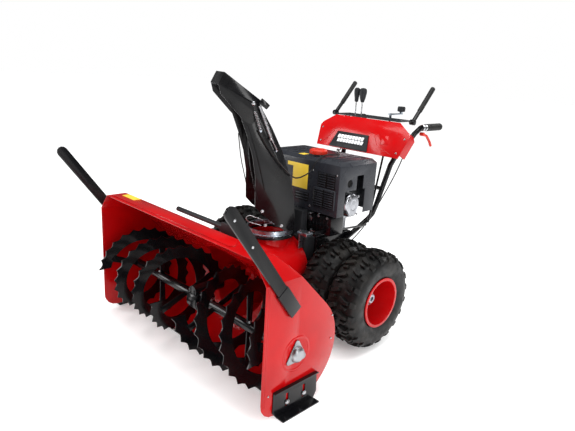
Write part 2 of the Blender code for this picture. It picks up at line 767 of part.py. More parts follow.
# ---------------------------------------------------------------- wheels
def make_wheels():
    half = TYRE_WIDTH / 2
    sidewall_r = (2 * BEAD_R + TYRE_R) / 3
    tyre_profile = [
        (BEAD_R, -half + 0.020),
        (BEAD_R + 0.005, -half + 0.009),
        (sidewall_r, -half + 0.001),
        (TYRE_R - 0.038, -half),
        (TYRE_R - 0.020, -half + 0.009),
        (TYRE_R - 0.006, -half + 0.028),
        (TYRE_R, -half + 0.055),
    ]
    tyre_profile += [(r, -h) for r, h in reversed(tyre_profile)]
    edge = half - 0.009 + 2 * GAP
    lip = edge + 0.005
    barrel = BEAD_R - GAP
    flange_r = BEAD_R + 0.004
    dish_r = BEAD_R - 0.013
    hub_r = 0.022
    bore_r = AXLE_R + GAP
    rim_profile = [
        (hub_r, -0.055),
        (hub_r, -0.036),
        (dish_r, -0.042),
        (BEAD_R - 0.009, -lip),
        (flange_r, -lip),
        (flange_r, -edge),
        (barrel, -edge),
        (barrel, edge),
        (flange_r, edge),
        (flange_r, lip),
        (BEAD_R - 0.008, lip),
        (dish_r - 0.002, -0.036),
        (hub_r, -0.030),
        (hub_r, -0.004),
        (bore_r, -0.004),
        (bore_r, -0.055),
    ]
    for side, name in ((1, "right"), (-1, "left")):
        spin = pivot(f"wheel_axis_{name}", (0, AXLE_Y, TYRE_R))
        low, high = sorted((side * 0.004, side * (OUTER_TYRE_X + 0.010)))
        piece(f"axle_{name}", rod(AXLE_R, low, high, "X", 12), STEEL, spin)
        for place, x in (("inner", INNER_TYRE_X), ("outer", OUTER_TYRE_X)):
            rim = moved(turned(rim_profile, "X", 28), x)
            tyre = moved(turned(tyre_profile, "X", 28), x)
            if side < 0:
                rim, tyre = mirrored(rim), mirrored(tyre)
            piece(f"rim_{name}_{place}", rim, RED, spin)
            piece(f"tyre_{name}_{place}", tyre, RUBBER, spin)


# ---------------------------------------------------------------- chassis and engine
def make_chassis():
    half, wall = CHASSIS_HALF, CHASSIS_WALL
    box = block((-half, CHASSIS_FRONT, CHASSIS_BOTTOM), (half, CHASSIS_REAR, CHASSIS_TOP))
    room = block(
        (-half + wall, CHASSIS_FRONT + wall, CHASSIS_BOTTOM - 0.01),
        (half - wall, CHASSIS_REAR - wall, CHASSIS_TOP - wall),
    )
    axle_bore = moved(rod(AXLE_R + RUNNING, -0.3, 0.3, "X", 16), 0, AXLE_Y, TYRE_R)
    cut(piece("chassis", box, BLACK), room, axle_bore)


def make_belt_cover():
    """A wide lower box over the impeller's pulley and a narrow upper one over the engine's."""
    front, back = DRUM_REAR + GAP, CHASSIS_FRONT - GAP
    wall = 0.003
    upper_front = PULLEY_Y - 2 * RUNNING - wall  # close to the pulley, clear of the turning chute
    wide, narrow = 0.125, 0.072
    low, waist, high = 0.118, 0.412, 0.518
    cover = piece("belt_cover", block((-wide, front, low), (wide, back, waist)), PLASTIC)
    join(cover, block((-narrow, upper_front, waist - 0.012), (narrow, back, high)))
    low_room = block((-wide + wall, front + wall, low + 0.004), (wide - wall, back + 0.01, waist - 0.004))
    high_room = block(
        (-narrow + wall, upper_front + wall, waist - 0.022), (narrow - wall, back + 0.01, high - wall)
    )
    bore = moved(rod(SHAFT_R + RUNNING, DRUM_REAR - 0.05, CHASSIS_FRONT + 0.04, "Y", 16), z=IMPELLER_Z)
    cut(cover, low_room, high_room, bore)


def make_engine_block():
    """A crankcase on the chassis with the cylinder lying on top of it, towards the right."""
    low = CHASSIS_TOP + GAP
    front = ENGINE_FRONT + 0.015
    cylinder_end = 0.190
    case = block((-0.120, front, low), (0.120, front + 0.200, 0.500))
    engine = piece("engine_block", case, ALUMINIUM)
    join(engine, block((-0.090, front + 0.020, 0.490), (cylinder_end, front + 0.170, 0.660)))
    bore = moved(rod(SHAFT_R + RUNNING, CHASSIS_FRONT - 0.06, CHASSIS_FRONT + 0.146, "Y", 16), z=CRANK_Z)
    cut(engine, bore)
    rocker = block((cylinder_end + GAP, front + 0.055, 0.512), (0.240, front + 0.125, 0.606))
    cover = piece("rocker_cover", rocker, CHROME)
    soft = cover.modifiers.new("rounded", "BEVEL")
    soft.width = 0.014
    soft.segments = 3


def shroud_section(inset, bottom):
    """The shroud seen from the front, with its upper corners cut off; moved in by the wall for the inside."""
    corner = inset * 0.4
    right, left = ENGINE_RIGHT - inset, ENGINE_LEFT + inset
    top = ENGINE_TOP - inset
    return [
        (left, bottom),
        (right, bottom),
        (right, ENGINE_TOP - ENGINE_CHAMFER - corner),
        (ENGINE_RIGHT - ENGINE_CHAMFER - corner, top),
        (ENGINE_LEFT + ENGINE_CHAMFER + corner, top),
        (left, ENGINE_TOP - ENGINE_CHAMFER - corner),
    ]


def make_engine_shroud():
    wall = COVER_WALL
    shell = prism(shroud_section(0, ENGINE_BOTTOM), ENGINE_FRONT, ENGINE_REAR, "Y")
    shroud = piece("engine_shroud", shell, PLASTIC)
    neck = moved(rod(0.030, ENGINE_TOP - 0.002, ENGINE_TOP + 0.008, "Z", 20), *FUEL_CAP_PLACE)
    starter_back = ENGINE_REAR + 0.026
    starter = moved(rod(STARTER_R, ENGINE_REAR - 0.01, starter_back, "Y", 24), -0.02, 0, 0.635)
    join(shroud, neck, starter)

    slant = ENGINE_CHAMFER * 0.8 + 0.01
    slants = []
    for y, inward in ((ENGINE_FRONT - 0.01, 1), (ENGINE_REAR + 0.01, -1)):
        low, high = ENGINE_TOP - slant, ENGINE_TOP + 0.01
        slants.append(prism([(y, low), (y + inward * (slant + 0.01), high), (y, high)], -0.3, 0.3))
    # under the slants the room stops lower, so that the wall keeps its thickness there
    behind_slant = ENGINE_CHAMFER * 0.8 + wall
    room_low = ENGINE_BOTTOM - 0.02
    room = prism(
        shroud_section(wall, room_low), ENGINE_FRONT + behind_slant, ENGINE_REAR - behind_slant, "Y"
    )
    low_room = block(
        (ENGINE_LEFT + wall, ENGINE_FRONT + wall, room_low),
        (ENGINE_RIGHT - wall, ENGINE_REAR - wall, ENGINE_TOP - behind_slant),
    )
    side_in, side_out = ENGINE_RIGHT - 0.036, ENGINE_RIGHT + 0.024
    round_hole = moved(rod(0.017, side_in, side_out, "X", 16), 0, ENGINE_FRONT + 0.073, 0.660)
    square_hole = block((side_in, ENGINE_FRONT + 0.119, 0.628), (side_out, ENGINE_FRONT + 0.165, 0.690))
    notch_low = (side_in, ENGINE_FRONT + 0.045, ENGINE_BOTTOM - 0.02)
    notch = block(notch_low, (side_out, ENGINE_FRONT + 0.181, 0.6285))
    cut(shroud, *slants, room, low_room, round_hole, square_hole, notch)

    cap_axis = pivot("fuel_cap_axis", (*FUEL_CAP_PLACE, ENGINE_TOP + 0.008 + GAP))
    edge, crown = 0.014, 0.022
    profile = [(0, 0), (FUEL_CAP_R, 0), (FUEL_CAP_R, edge), (FUEL_CAP_R - 0.007, crown), (0, crown)]
    piece("fuel_cap", turned(profile, "Z", 24), RED, cap_axis)

    pull = pivot("recoil_axis", (-0.020, starter_back + GAP, 0.690))
    handle = piece("recoil_handle", rod(0.006, 0, 0.018, "Y", 10), PLASTIC, pull)
    join(handle, moved(rod(0.010, -0.045, 0.045, "X", 12), y=0.022))


# ---------------------------------------------------------------- handles
def handle_path(side):
    low_x = CHASSIS_HALF + GAP + TUBE_R
    knots = [
        (low_x, 0.800, 0.350),
        (low_x, 0.840, 0.366),
        (low_x, 1.010, 0.441),
        (low_x, 1.042, 0.462),
        (low_x, 1.065, 0.500),
        (low_x, 1.150, 0.690),
        (low_x + 0.010, 1.168, 0.730),
        (0.205, 1.180, 0.790),
        (GRIP_X - 0.004, 1.200, 0.850),
        (GRIP_X, 1.240, GRIP_Z),
        (GRIP_X, GRIP_REAR - 0.004, GRIP_Z),
    ]
    return [(side * x, y, z) for x, y, z in knots]


def make_handles():
    frame = piece("handle_frame", swept(handle_path(1), TUBE_R, 10), BLACK)
    cross = swept([(-0.150, 1.100, 0.5785), (0.150, 1.100, 0.5785)], TUBE_R * 0.8, 8)
    join(frame, swept(handle_path(-1), TUBE_R, 10), cross)

    for side, name in ((1, "right"), (-1, "left")):
        bore = TUBE_R + 0.0008
        wall = 0.003
        cup = [(0, GRIP_REAR), (GRIP_R, GRIP_REAR), (GRIP_R, GRIP_FRONT), (bore, GRIP_FRONT)]
        cup += [(bore, GRIP_REAR - wall), (0, GRIP_REAR - wall)]
        piece(f"grip_{name}", moved(turned(cup, "Y", 16), side * GRIP_X, 0, GRIP_Z), RUBBER)

        hinge = pivot(f"bail_axis_{name}", (side * GRIP_X, GRIP_FRONT - 0.127, GRIP_Z + 0.029))
        bail = swept([(0, 0.004, 0.004), (0, 0.050, 0.052), (0, 0.145, 0.157)], 0.010, 8)
        made = piece(f"bail_{name}", bail, BLACK, hinge)
        join(made, rod(0.013, -0.012, 0.012, "X", 12))

        hinge = pivot(f"trigger_axis_{name}", (side * GRIP_X, GRIP_FRONT - 0.030, GRIP_Z - 0.030))
        trigger = swept([(0, 0, 0), (0, 0.040, -0.010), (0, 0.075, -0.040), (0, 0.092, -0.062)], 0.0065, 8)
        made = piece(f"trigger_{name}", trigger, RED, hinge)
        join(made, rod(0.009, -0.010, 0.010, "X", 12))


def make_dashboard():
    """A raked sheet panel with turned-back edges, narrower along its top, the lamp let into its middle."""
    y0, z0 = DASH_BOTTOM
    y1, z1 = DASH_TOP
    rise = math.hypot(y1 - y0, z1 - z0)
    lean = math.atan2(y1 - y0, z1 - z0)
    outline = [
        (-DASH_HALF, 0.0),
        (DASH_HALF, 0.0),
        (DASH_HALF + 0.022, rise * 0.62),
        (DASH_HALF + 0.010, rise * 0.74),
        (DASH_HALF - 0.055, rise),
        (-DASH_HALF + 0.055, rise),
        (-DASH_HALF - 0.010, rise * 0.74),
        (-DASH_HALF - 0.022, rise * 0.62),
    ]
    shrink = DASH_WALL
    inner = [(x - math.copysign(shrink, x), u) for x, u in outline]
    inner[0] = (inner[0][0], -0.02)
    inner[1] = (inner[1][0], -0.02)
    inner[4] = (inner[4][0], rise + 0.02)
    inner[5] = (inner[5][0], rise + 0.02)
    shell = prism(outline, 0, DASH_DEPTH, "Y")
    hollow = prism(inner, DASH_WALL, DASH_DEPTH + 0.02, "Y")
    lamp_low, lamp_high = 0.004, 0.086
    lamp_outline = [(-0.165, lamp_low), (0.072, lamp_low), (0.050, lamp_high), (-0.140, lamp_high)]
    room = 2 * GAP
    lamp_gap = []
    for (x, u), outward, upward in zip(lamp_outline, (-1, 1, 1, -1), (-1, -1, 1, 1)):
        lamp_gap.append((x + outward * room, u + upward * room))
    lamp = prism(lamp_outline, -0.006, 0.022, "Y")
    lamp_cut = prism(lamp_gap, -0.05, 0.10, "Y")
    for bm in (shell, hollow, lamp, lamp_cut):
        turned_by(bm, -lean, "X")
        moved(bm, 0, y0, z0)
    tubes = []
    for side in (1, -1):
        tubes.append(swept(handle_path(side), TUBE_R + 0.0015, 10))
    dash = piece("dashboard", shell, RED)
    cut(dash, hollow, lamp_cut, *tubes)
    piece("headlight", lamp, LIGHT)


def make_deck():
    """The flat deck behind the dashboard's top edge, with the two levers in its slots."""
    y1, z1 = DASH_TOP
    low = z1 + 0.001
    deck = block((-0.190, y1 + 0.002, low), (0.190, y1 + 0.100, low + DECK_THICKNESS))
    made = piece("control_deck", deck, PLASTIC)
    slot_y = y1 + 0.050
    half = SLOT_LENGTH / 2
    width = LEVER_R + 0.0015
    slots = []
    for x in LEVERS:
        slots.append(block((x - width, slot_y - half, low - 0.01), (x + width, slot_y + half, low + 0.02)))
    boss = moved(rod(CRANK_ROD_R + RUNNING, low - 0.1, low + 0.1, "Z", 12), *CRANK_PLACE)
    cut(made, *slots, boss)

    for x, name, knob in ((LEVERS[0], "shift_lever", 0.019), (LEVERS[1], "deflector_lever", 0.015)):
        hinge = pivot(f"{name}_axis", (x, slot_y, z1 - 0.050))
        lever = piece(name, swept([(0, 0, 0), (0, 0, LEVER_LENGTH)], LEVER_R, 8), PLASTIC, hinge)
        foot, crown = LEVER_LENGTH - 0.030, LEVER_LENGTH + 0.040
        profile = [(0, foot), (0.009, foot), (knob, crown - 0.025), (knob, crown - 0.008), (0, crown)]
        join(lever, rod(0.008, -0.008, 0.008, "X", 10), turned(profile, "Z", 12))


# ---------------------------------------------------------------- chute drive
def aimed(bm, start, end):
    """Lays a piece made along +Z from the origin along start to end."""
    direction = (Vector(end) - Vector(start)).normalized()
    turn = Vector((0, 0, 1)).rotation_difference(direction)
    bmesh.ops.rotate(bm, verts=bm.verts, cent=(0, 0, 0), matrix=turn.to_matrix())
    return bm


def make_chute_drive():
    deck_top = DASH_TOP[1] + 0.001 + DECK_THICKNESS
    crank_foot = DASH_TOP[1] - 0.050
    turn = pivot("crank_axis", (*CRANK_PLACE, 0))
    crank = piece("chute_crank", rod(CRANK_ROD_R, crank_foot, deck_top + 0.030, "Z", 12), ZINC, turn)
    arm_z = deck_top + 0.022
    crank_arm = block((-0.007, -0.010, arm_z), (0.007, CRANK_REACH + 0.008, arm_z + 0.006))
    knob_r, knob_top = CRANK_KNOB_R, 0.034
    profile = [(0, 0), (0.005, 0), (0.010, 0.008), (knob_r, 0.012), (knob_r, knob_top - 0.004), (0, knob_top)]
    knob = turned(profile, "Z", 16)
    join(crank, crank_arm, moved(knob, 0, CRANK_REACH, arm_z + 0.004))

    joint_gap = 0.010  # left at the joint between the rods for its fork and cross
    start, end = Vector(ROD_JOINT), Vector((*CRANK_PLACE, crank_foot - 0.006))
    length = (end - start).length
    upper = aimed(rod(CHUTE_ROD_R, joint_gap, length, "Z", 10), start, end)
    piece("upper_rod", upper, BLACK, pivot("upper_rod_axis", start))

    start, end = Vector(WORM_END), Vector(ROD_JOINT)
    length = (end - start).length
    lower = aimed(rod(CHUTE_ROD_R, 0, length - joint_gap, "Z", 10), start, end)
    worm = aimed(rod(0.011, 0.004, 0.052, "Z", 12), start, end)
    join(piece("lower_rod", lower, BLACK, pivot("lower_rod_axis", start)), worm)

    left, right = 0.112, 0.168
    back = WORM_END[1] - 0.006
    plate = block((left, back - 0.040, NECK_TOP + 0.012), (right, back, NECK_TOP + 0.026))
    leg_foot = IMPELLER_Z + math.sqrt((DRUM_R + SHEET) ** 2 - left**2) + GAP  # on the drum's curve
    leg = block((left, back - 0.030, leg_foot), (left + 0.007, back - 0.004, NECK_TOP + 0.014))
    join(piece("worm_bracket", plate, ZINC), leg)


# ---------------------------------------------------------------- shovel and cables
def make_shovel():
    """The clean-out shovel, lying in its clips across the sloping back of the bucket."""
    z = BUCKET_TOP - 0.010
    y = SLOPE - z + 0.046
    handle = swept([(-0.150, y, z + 0.006), (0.180, y, z + 0.006)], 0.010, 8)
    blade = block((0.150, y - 0.016, z - 0.028), (0.330, y - 0.010, z + 0.028))
    lift = pivot("shovel_axis", (0, 0, 0))
    shovel = piece("clean_out_shovel", handle, PLASTIC, lift)
    join(shovel, blade, block((0.140, y - 0.016, z - 0.006), (0.200, y + 0.006, z + 0.012)))


def make_control_cables():
    traction = [
        (0.190, 1.215, 0.835),
        (0.184, 1.212, 0.760),
        (0.186, 1.150, 0.660),
        (0.180, 1.080, 0.560),
        (0.172, 0.980, 0.440),
        (0.156, 0.915, 0.370),
        (0.110, CHASSIS_REAR + 0.012, 0.320),
        (0.080, CHASSIS_REAR + 0.004, 0.300),
    ]
    auger = [(-x, y, z) for x, y, z in traction]
    for name, knots in (("traction_cable", traction), ("auger_cable", auger)):
        piece(name, swept(smooth_path(knots, 4), 0.0028, 6), RUBBER)


make_bucket()
make_skids()
make_drift_cutters()
make_bearing_covers()
make_drum()
make_gearbox()
make_augers()
make_impeller()
make_chute()
make_deflector_pull()
make_wheels()
make_chassis()
make_belt_cover()
make_engine_block()
make_engine_shroud()
make_handles()
make_dashboard()
make_deck()
make_chute_drive()
make_shovel()
make_control_cables()
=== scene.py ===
import json
import math

import bpy
from mathutils import Matrix, Vector


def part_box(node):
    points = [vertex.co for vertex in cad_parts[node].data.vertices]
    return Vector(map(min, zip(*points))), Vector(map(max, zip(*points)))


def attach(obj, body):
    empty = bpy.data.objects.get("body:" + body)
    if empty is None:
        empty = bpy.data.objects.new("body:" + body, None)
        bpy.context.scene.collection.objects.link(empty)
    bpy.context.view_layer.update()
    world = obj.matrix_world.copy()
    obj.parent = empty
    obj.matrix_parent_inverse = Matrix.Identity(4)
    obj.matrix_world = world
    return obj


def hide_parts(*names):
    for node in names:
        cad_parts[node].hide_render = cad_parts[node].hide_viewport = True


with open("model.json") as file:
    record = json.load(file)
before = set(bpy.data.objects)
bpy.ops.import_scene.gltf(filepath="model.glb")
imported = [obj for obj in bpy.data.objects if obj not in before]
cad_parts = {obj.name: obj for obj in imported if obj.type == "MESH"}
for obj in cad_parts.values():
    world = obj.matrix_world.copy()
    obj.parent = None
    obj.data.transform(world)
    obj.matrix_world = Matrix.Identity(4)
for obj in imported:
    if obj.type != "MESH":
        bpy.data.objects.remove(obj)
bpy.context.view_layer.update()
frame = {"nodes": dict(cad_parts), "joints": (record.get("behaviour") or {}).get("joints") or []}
scene = bpy.context.scene
front_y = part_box("bucket_side_right")[0].y


def at(x, y, z):
    """A place across the machine, behind the bucket's front edge, and above the ground."""
    return Vector((x, front_y + y, z))


# ---------------------------------------------------------------- studio
# A pale floor under soft boxes: a broad one overhead, a tall one to the left of the bucket and a weaker one
# to the right, so that the enamel carries long soft highlights.
lens = bpy.data.cameras.new("camera")
lens.lens, lens.sensor_width, lens.clip_end = 32.83, 36.0, 60.0
camera = bpy.data.objects.new("camera", lens)
scene.collection.objects.link(camera)
turn = Matrix.Rotation(math.radians(44.576), 4, "Z") @ Matrix.Rotation(math.radians(90 - 15.823), 4, "X")
turn = turn @ Matrix.Rotation(math.radians(3.4435), 4, "Z")
camera.matrix_world = Matrix.Translation(at(1.5784, -0.9901, 1.1211)) @ turn
scene.camera = camera
scene.view_settings.view_transform = "Standard"

world = bpy.data.worlds.new("studio")
scene.world = world
world.use_nodes = True
sky = world.node_tree
backdrop = sky.nodes["Background"]
backdrop.inputs["Color"].default_value = (1, 1, 1, 1)
ray = sky.nodes.new("ShaderNodeLightPath")
# the room is white to look at and evenly bright, but darker as the enamel mirrors it
dimmed = sky.nodes.new("ShaderNodeMapRange")
dimmed.inputs["To Min"].default_value = 1.0
dimmed.inputs["To Max"].default_value = 0.10
sky.links.new(ray.outputs["Is Glossy Ray"], dimmed.inputs["Value"])
sky.links.new(dimmed.outputs["Result"], backdrop.inputs["Strength"])

bpy.ops.object.select_all(action="DESELECT")
bpy.ops.mesh.primitive_plane_add(size=60, location=(0, 0, -0.0006))
floor = bpy.context.object
floor.name = "studio_floor"
paper = bpy.data.materials.new("pale_floor")
paper.use_nodes = True
paper.node_tree.nodes["Principled BSDF"].inputs["Base Color"].default_value = (0.94, 0.94, 0.94, 1)
paper.node_tree.nodes["Principled BSDF"].inputs["Roughness"].default_value = 0.8
paper.node_tree.nodes["Principled BSDF"].inputs["Emission Color"].default_value = (1, 1, 1, 1)
paper.node_tree.nodes["Principled BSDF"].inputs["Emission Strength"].default_value = 0.20
floor.data.materials.append(paper)

for name, place, size, power in (
    ("overhead", (0.2, -0.3, 3.0), (3.0, 1.2), 55),
    ("left_front", (-2.6, -2.4, 1.7), (0.8, 2.4), 42),
    ("right_front", (3.0, -0.6, 1.6), (0.6, 2.2), 30),
    ("behind", (0.4, 3.2, 2.2), (2.0, 0.9), 30),
):
    lamp = bpy.data.lights.new(name, "AREA")
    lamp.shape, lamp.size, lamp.size_y, lamp.energy = "RECTANGLE", size[0], size[1], power
    light = bpy.data.objects.new(name, lamp)
    scene.collection.objects.link(light)
    light.location = place
    light.rotation_euler = (Vector((0, -0.1, 0.5)) - Vector(place)).to_track_quat("-Z", "Y").to_euler()


# ---------------------------------------------------------------- red enamelled bucket
# Two end plates and one wrapped sheet of 3 mm steel, seam-welded and coated in glossy red enamel. The plates'
# front edges are folded over twice into a hem, and the top carries a pressed stiffening panel.
def surface_wear():
    """Patches of dust or scuffing over a clean coat, uneven gloss, and a fine grain in relief."""
    group = bpy.data.node_groups.new("surface_wear", "ShaderNodeTree")
    for label, kind in (
        ("Clean", "NodeSocketColor"), ("Worn", "NodeSocketColor"), ("Patch Scale", "NodeSocketFloat"),
        ("Grain Scale", "NodeSocketFloat"), ("Grain Depth", "NodeSocketFloat"),
        ("Low Roughness", "NodeSocketFloat"), ("High Roughness", "NodeSocketFloat"),
    ):
        group.interface.new_socket(label, in_out="INPUT", socket_type=kind)
    for label, kind in (("Colour", "Color"), ("Roughness", "Float"), ("Normal", "Vector")):
        group.interface.new_socket(label, in_out="OUTPUT", socket_type="NodeSocket" + kind)
    add, link = group.nodes.new, group.links.new
    given, put = add("NodeGroupInput"), add("NodeGroupOutput")
    where = add("ShaderNodeTexCoord")
    patches, gloss, grain = (add("ShaderNodeTexNoise") for _ in range(3))
    patches.inputs["Detail"].default_value = 6
    gloss.inputs["Detail"].default_value = 3
    doubled = add("ShaderNodeMath")
    doubled.operation, doubled.inputs[1].default_value = "MULTIPLY", 2.7
    for noise in (patches, gloss, grain):
        link(where.outputs["Object"], noise.inputs["Vector"])
    link(given.outputs["Patch Scale"], patches.inputs["Scale"])
    link(given.outputs["Patch Scale"], doubled.inputs[0])
    link(doubled.outputs[0], gloss.inputs["Scale"])
    link(given.outputs["Grain Scale"], grain.inputs["Scale"])
    band = add("ShaderNodeMapRange")
    band.inputs["From Min"].default_value, band.inputs["From Max"].default_value = 0.44, 0.72
    link(patches.outputs["Fac"], band.inputs["Value"])
    tint = add("ShaderNodeMix")
    tint.data_type = "RGBA"
    link(band.outputs["Result"], tint.inputs["Factor"])
    link(given.outputs["Clean"], tint.inputs["A"])
    link(given.outputs["Worn"], tint.inputs["B"])
    link(tint.outputs["Result"], put.inputs["Colour"])
    rough = add("ShaderNodeMapRange")
    rough.inputs["From Min"].default_value, rough.inputs["From Max"].default_value = 0.35, 0.65
    link(gloss.outputs["Fac"], rough.inputs["Value"])
    link(given.outputs["Low Roughness"], rough.inputs["To Min"])
    link(given.outputs["High Roughness"], rough.inputs["To Max"])
    link(rough.outputs["Result"], put.inputs["Roughness"])
    bump = add("ShaderNodeBump")
    link(grain.outputs["Fac"], bump.inputs["Height"])
    link(given.outputs["Grain Depth"], bump.inputs["Distance"])
    link(bump.outputs["Normal"], put.inputs["Normal"])
    return group


wear = surface_wear()


def dressed(name, clean, worn, gloss, patch, grain, depth, metallic=0.0, coat=0.0):
    """A material with the wear group feeding its own shader."""
    material = bpy.data.materials.new(name)
    material.use_nodes = True
    nodes, links = material.node_tree.nodes, material.node_tree.links
    shader = nodes["Principled BSDF"]
    shader.inputs["Metallic"].default_value = metallic
    shader.inputs["Coat Weight"].default_value = coat
    shader.inputs["Specular IOR Level"].default_value = 0.5 if metallic else 0.22
    shader.inputs["Coat Roughness"].default_value = 0.06
    effect = nodes.new("ShaderNodeGroup")
    effect.node_tree = wear
    effect.inputs["Clean"].default_value = (*clean, 1)
    effect.inputs["Worn"].default_value = (*worn, 1)
    effect.inputs["Patch Scale"].default_value = patch
    effect.inputs["Grain Scale"].default_value = grain
    effect.inputs["Grain Depth"].default_value = depth
    effect.inputs["Low Roughness"].default_value, effect.inputs["High Roughness"].default_value = gloss
    links.new(effect.outputs["Colour"], shader.inputs["Base Color"])
    links.new(effect.outputs["Roughness"], shader.inputs["Roughness"])
    links.new(effect.outputs["Normal"], shader.inputs["Normal"])
    return material


red = dressed(
    "red_gloss_enamel", (0.46, 0.002, 0.003), (0.34, 0.003, 0.004), (0.14, 0.25), 5, 260, 0.00012, 0, 0.16
)
yellow = dressed("yellow_sticker", (0.80, 0.56, 0.05), (0.72, 0.50, 0.06), (0.35, 0.45), 9, 500, 0.00004)
bright = dressed(
    "bright_zinc_bolts", (0.50, 0.51, 0.53), (0.34, 0.34, 0.34), (0.20, 0.38), 40, 900, 0.00006, 1.0
)


def alone(piece):
    bpy.ops.object.select_all(action="DESELECT")
    piece.select_set(True)
    bpy.context.view_layer.objects.active = piece
    return piece


def linked(name, mesh):
    piece = bpy.data.objects.new(name, mesh)
    scene.collection.objects.link(piece)
    return alone(piece)


def bevelled(piece, edge, segments=2, angle=35):
    alone(piece)
    roll = piece.modifiers.new("rolled_edges", "BEVEL")
    roll.width, roll.segments, roll.limit_method = edge, segments, "ANGLE"
    roll.angle_limit = math.radians(angle)
    bpy.ops.object.modifier_apply(modifier=roll.name)
    return piece


def softened(node, edge, segments=2, angle=35):
    """The node's own shape with its doubles merged and its sharp edges rolled over."""
    piece = linked(node + "_formed", frame["nodes"][node].data.copy())
    bpy.ops.object.mode_set(mode="EDIT")
    bpy.ops.mesh.select_all(action="SELECT")
    bpy.ops.mesh.remove_doubles(threshold=0.00002)
    bpy.ops.mesh.dissolve_limited(angle_limit=math.radians(1.5))
    bpy.ops.object.mode_set(mode="OBJECT")
    return bevelled(piece, edge, segments, angle) if edge else piece


def slab(low, high, edge=0.001):
    """A block with rolled edges between two corners."""
    low, high = Vector(low), Vector(high)
    bpy.ops.object.select_all(action="DESELECT")
    bpy.ops.mesh.primitive_cube_add(size=1, location=(low + high) / 2, scale=high - low)
    piece = bpy.context.object
    bpy.ops.object.transform_apply(location=True, rotation=True, scale=True)
    return bevelled(piece, edge)


def plate(outline, thickness, edge=0.0006):
    """A flat sheet standing thickness behind its outline, which runs anticlockwise as seen from its face."""
    mesh = bpy.data.meshes.new("plate")
    mesh.from_pydata([tuple(p) for p in outline], [], [tuple(range(len(outline)))])
    piece = linked("plate", mesh)
    wall = piece.modifiers.new("thickness", "SOLIDIFY")
    wall.thickness, wall.offset = thickness, -1
    bpy.ops.object.modifier_apply(modifier=wall.name)
    return bevelled(piece, edge)


def turned(profile, place, along, steps=32):
    """A turned piece: the profile's (radius, height) points spun round the axis through place."""
    along = Vector(along).normalized()
    side = along.orthogonal().normalized()
    mesh = bpy.data.meshes.new("turned")
    points = [Vector(place) + along * h + side * r for r, h in profile]
    mesh.from_pydata([tuple(p) for p in points], [(i, i + 1) for i in range(len(points) - 1)], [])
    piece = linked("turned", mesh)
    bpy.ops.object.mode_set(mode="EDIT")
    bpy.ops.mesh.select_all(action="SELECT")
    bpy.ops.mesh.spin(steps=steps, angle=math.tau, center=place, axis=along)
    bpy.ops.mesh.select_all(action="SELECT")
    bpy.ops.mesh.remove_doubles(threshold=0.00002)
    bpy.ops.mesh.normals_make_consistent(inside=False)
    bpy.ops.object.mode_set(mode="OBJECT")
    return piece


def bent(points, corner):
    """The points with each inner corner rounded off over that distance."""
    points = [Vector(p) for p in points]
    path = [points[0]]
    for before, here, after in zip(points, points[1:], points[2:]):
        start = here + (before - here).normalized() * min(corner, (before - here).length * 0.49)
        end = here + (after - here).normalized() * min(corner, (after - here).length * 0.49)
        for i in range(7):
            t = i / 6
            path.append(start * (1 - t) ** 2 + here * 2 * t * (1 - t) + end * t**2)
    return path + [points[-1]]


def tube(points, radius, corner=0.01, closed=False):
    """A round wire, pipe or bead along a path with rounded corners."""
    curve = bpy.data.curves.new("tube", "CURVE")
    curve.dimensions, curve.bevel_depth, curve.bevel_resolution = "3D", radius, 3
    curve.use_fill_caps = not closed
    path = bent(points, corner) if corner else [Vector(p) for p in points]
    spline = curve.splines.new("POLY")
    spline.points.add(len(path) - 1)
    for knot, place in zip(spline.points, path):
        knot.co = (*place, 1)
    spline.use_cyclic_u = closed
    piece = linked("tube", curve)
    bpy.ops.object.convert(target="MESH")
    bpy.ops.object.mode_set(mode="EDIT")
    bpy.ops.mesh.select_all(action="SELECT")
    bpy.ops.mesh.remove_doubles(threshold=0.00001)
    bpy.ops.mesh.normals_make_consistent(inside=False)
    bpy.ops.object.mode_set(mode="OBJECT")
    return piece


def joined(pieces):
    alone(pieces[0])
    for piece in pieces:
        piece.select_set(True)
    bpy.ops.object.join()
    return pieces[0]


def finished(piece, name, body, material, slot, *stands_for, smooth=32):
    alone(piece)
    bpy.ops.object.shade_smooth_by_angle(angle=math.radians(smooth))
    piece.name = piece.data.name = name
    piece.data.materials.clear()
    piece.data.materials.append(material)
    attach(piece, body)
    if stands_for:
        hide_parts(*stands_for)
    return piece


def carriage_bolt(place, out, radius=0.008):
    """A domed bolt head on its square-cornered washer face."""
    dome = [(radius * math.cos(a), 0.0012 + radius * 0.55 * math.sin(a)) for a in (0, 0.35, 0.7, 1.05, 1.35)]
    return turned([(0, -0.0005), (radius, -0.0005), *dome, (0, 0.0012 + radius * 0.55)], place, out, 16)


def hex_bolt(place, out, radius=0.0065):
    """A hexagon head with a chamfered crown, standing on a flat washer."""
    washer = turned(
        [(0, -0.0005), (radius * 1.5, -0.0005), (radius * 1.5, 0.0012), (0, 0.0012)], place, out, 16
    )
    bpy.ops.object.select_all(action="DESELECT")
    aim = Vector(out).normalized().to_track_quat("Z", "Y").to_euler()
    middle = Vector(place) + Vector(out).normalized() * (0.0012 + radius * 0.35)
    bpy.ops.mesh.primitive_cylinder_add(
        vertices=6, radius=radius, depth=radius * 0.75, location=middle, rotation=aim
    )
    head = bpy.context.object
    bpy.ops.object.transform_apply(location=True, rotation=True, scale=True)
    return joined([bevelled(head, radius * 0.12), washer])


RIGHT, FRONT, BACK, UP = (Vector(v) for v in ((1, 0, 0), (0, -1, 0), (0, 1, 0), (0, 0, 1)))
plate_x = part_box("bucket_side_right")[1].x
auger_z = (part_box("auger_shaft")[0].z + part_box("auger_shaft")[1].z) / 2
AUGER_BACK = 0.148

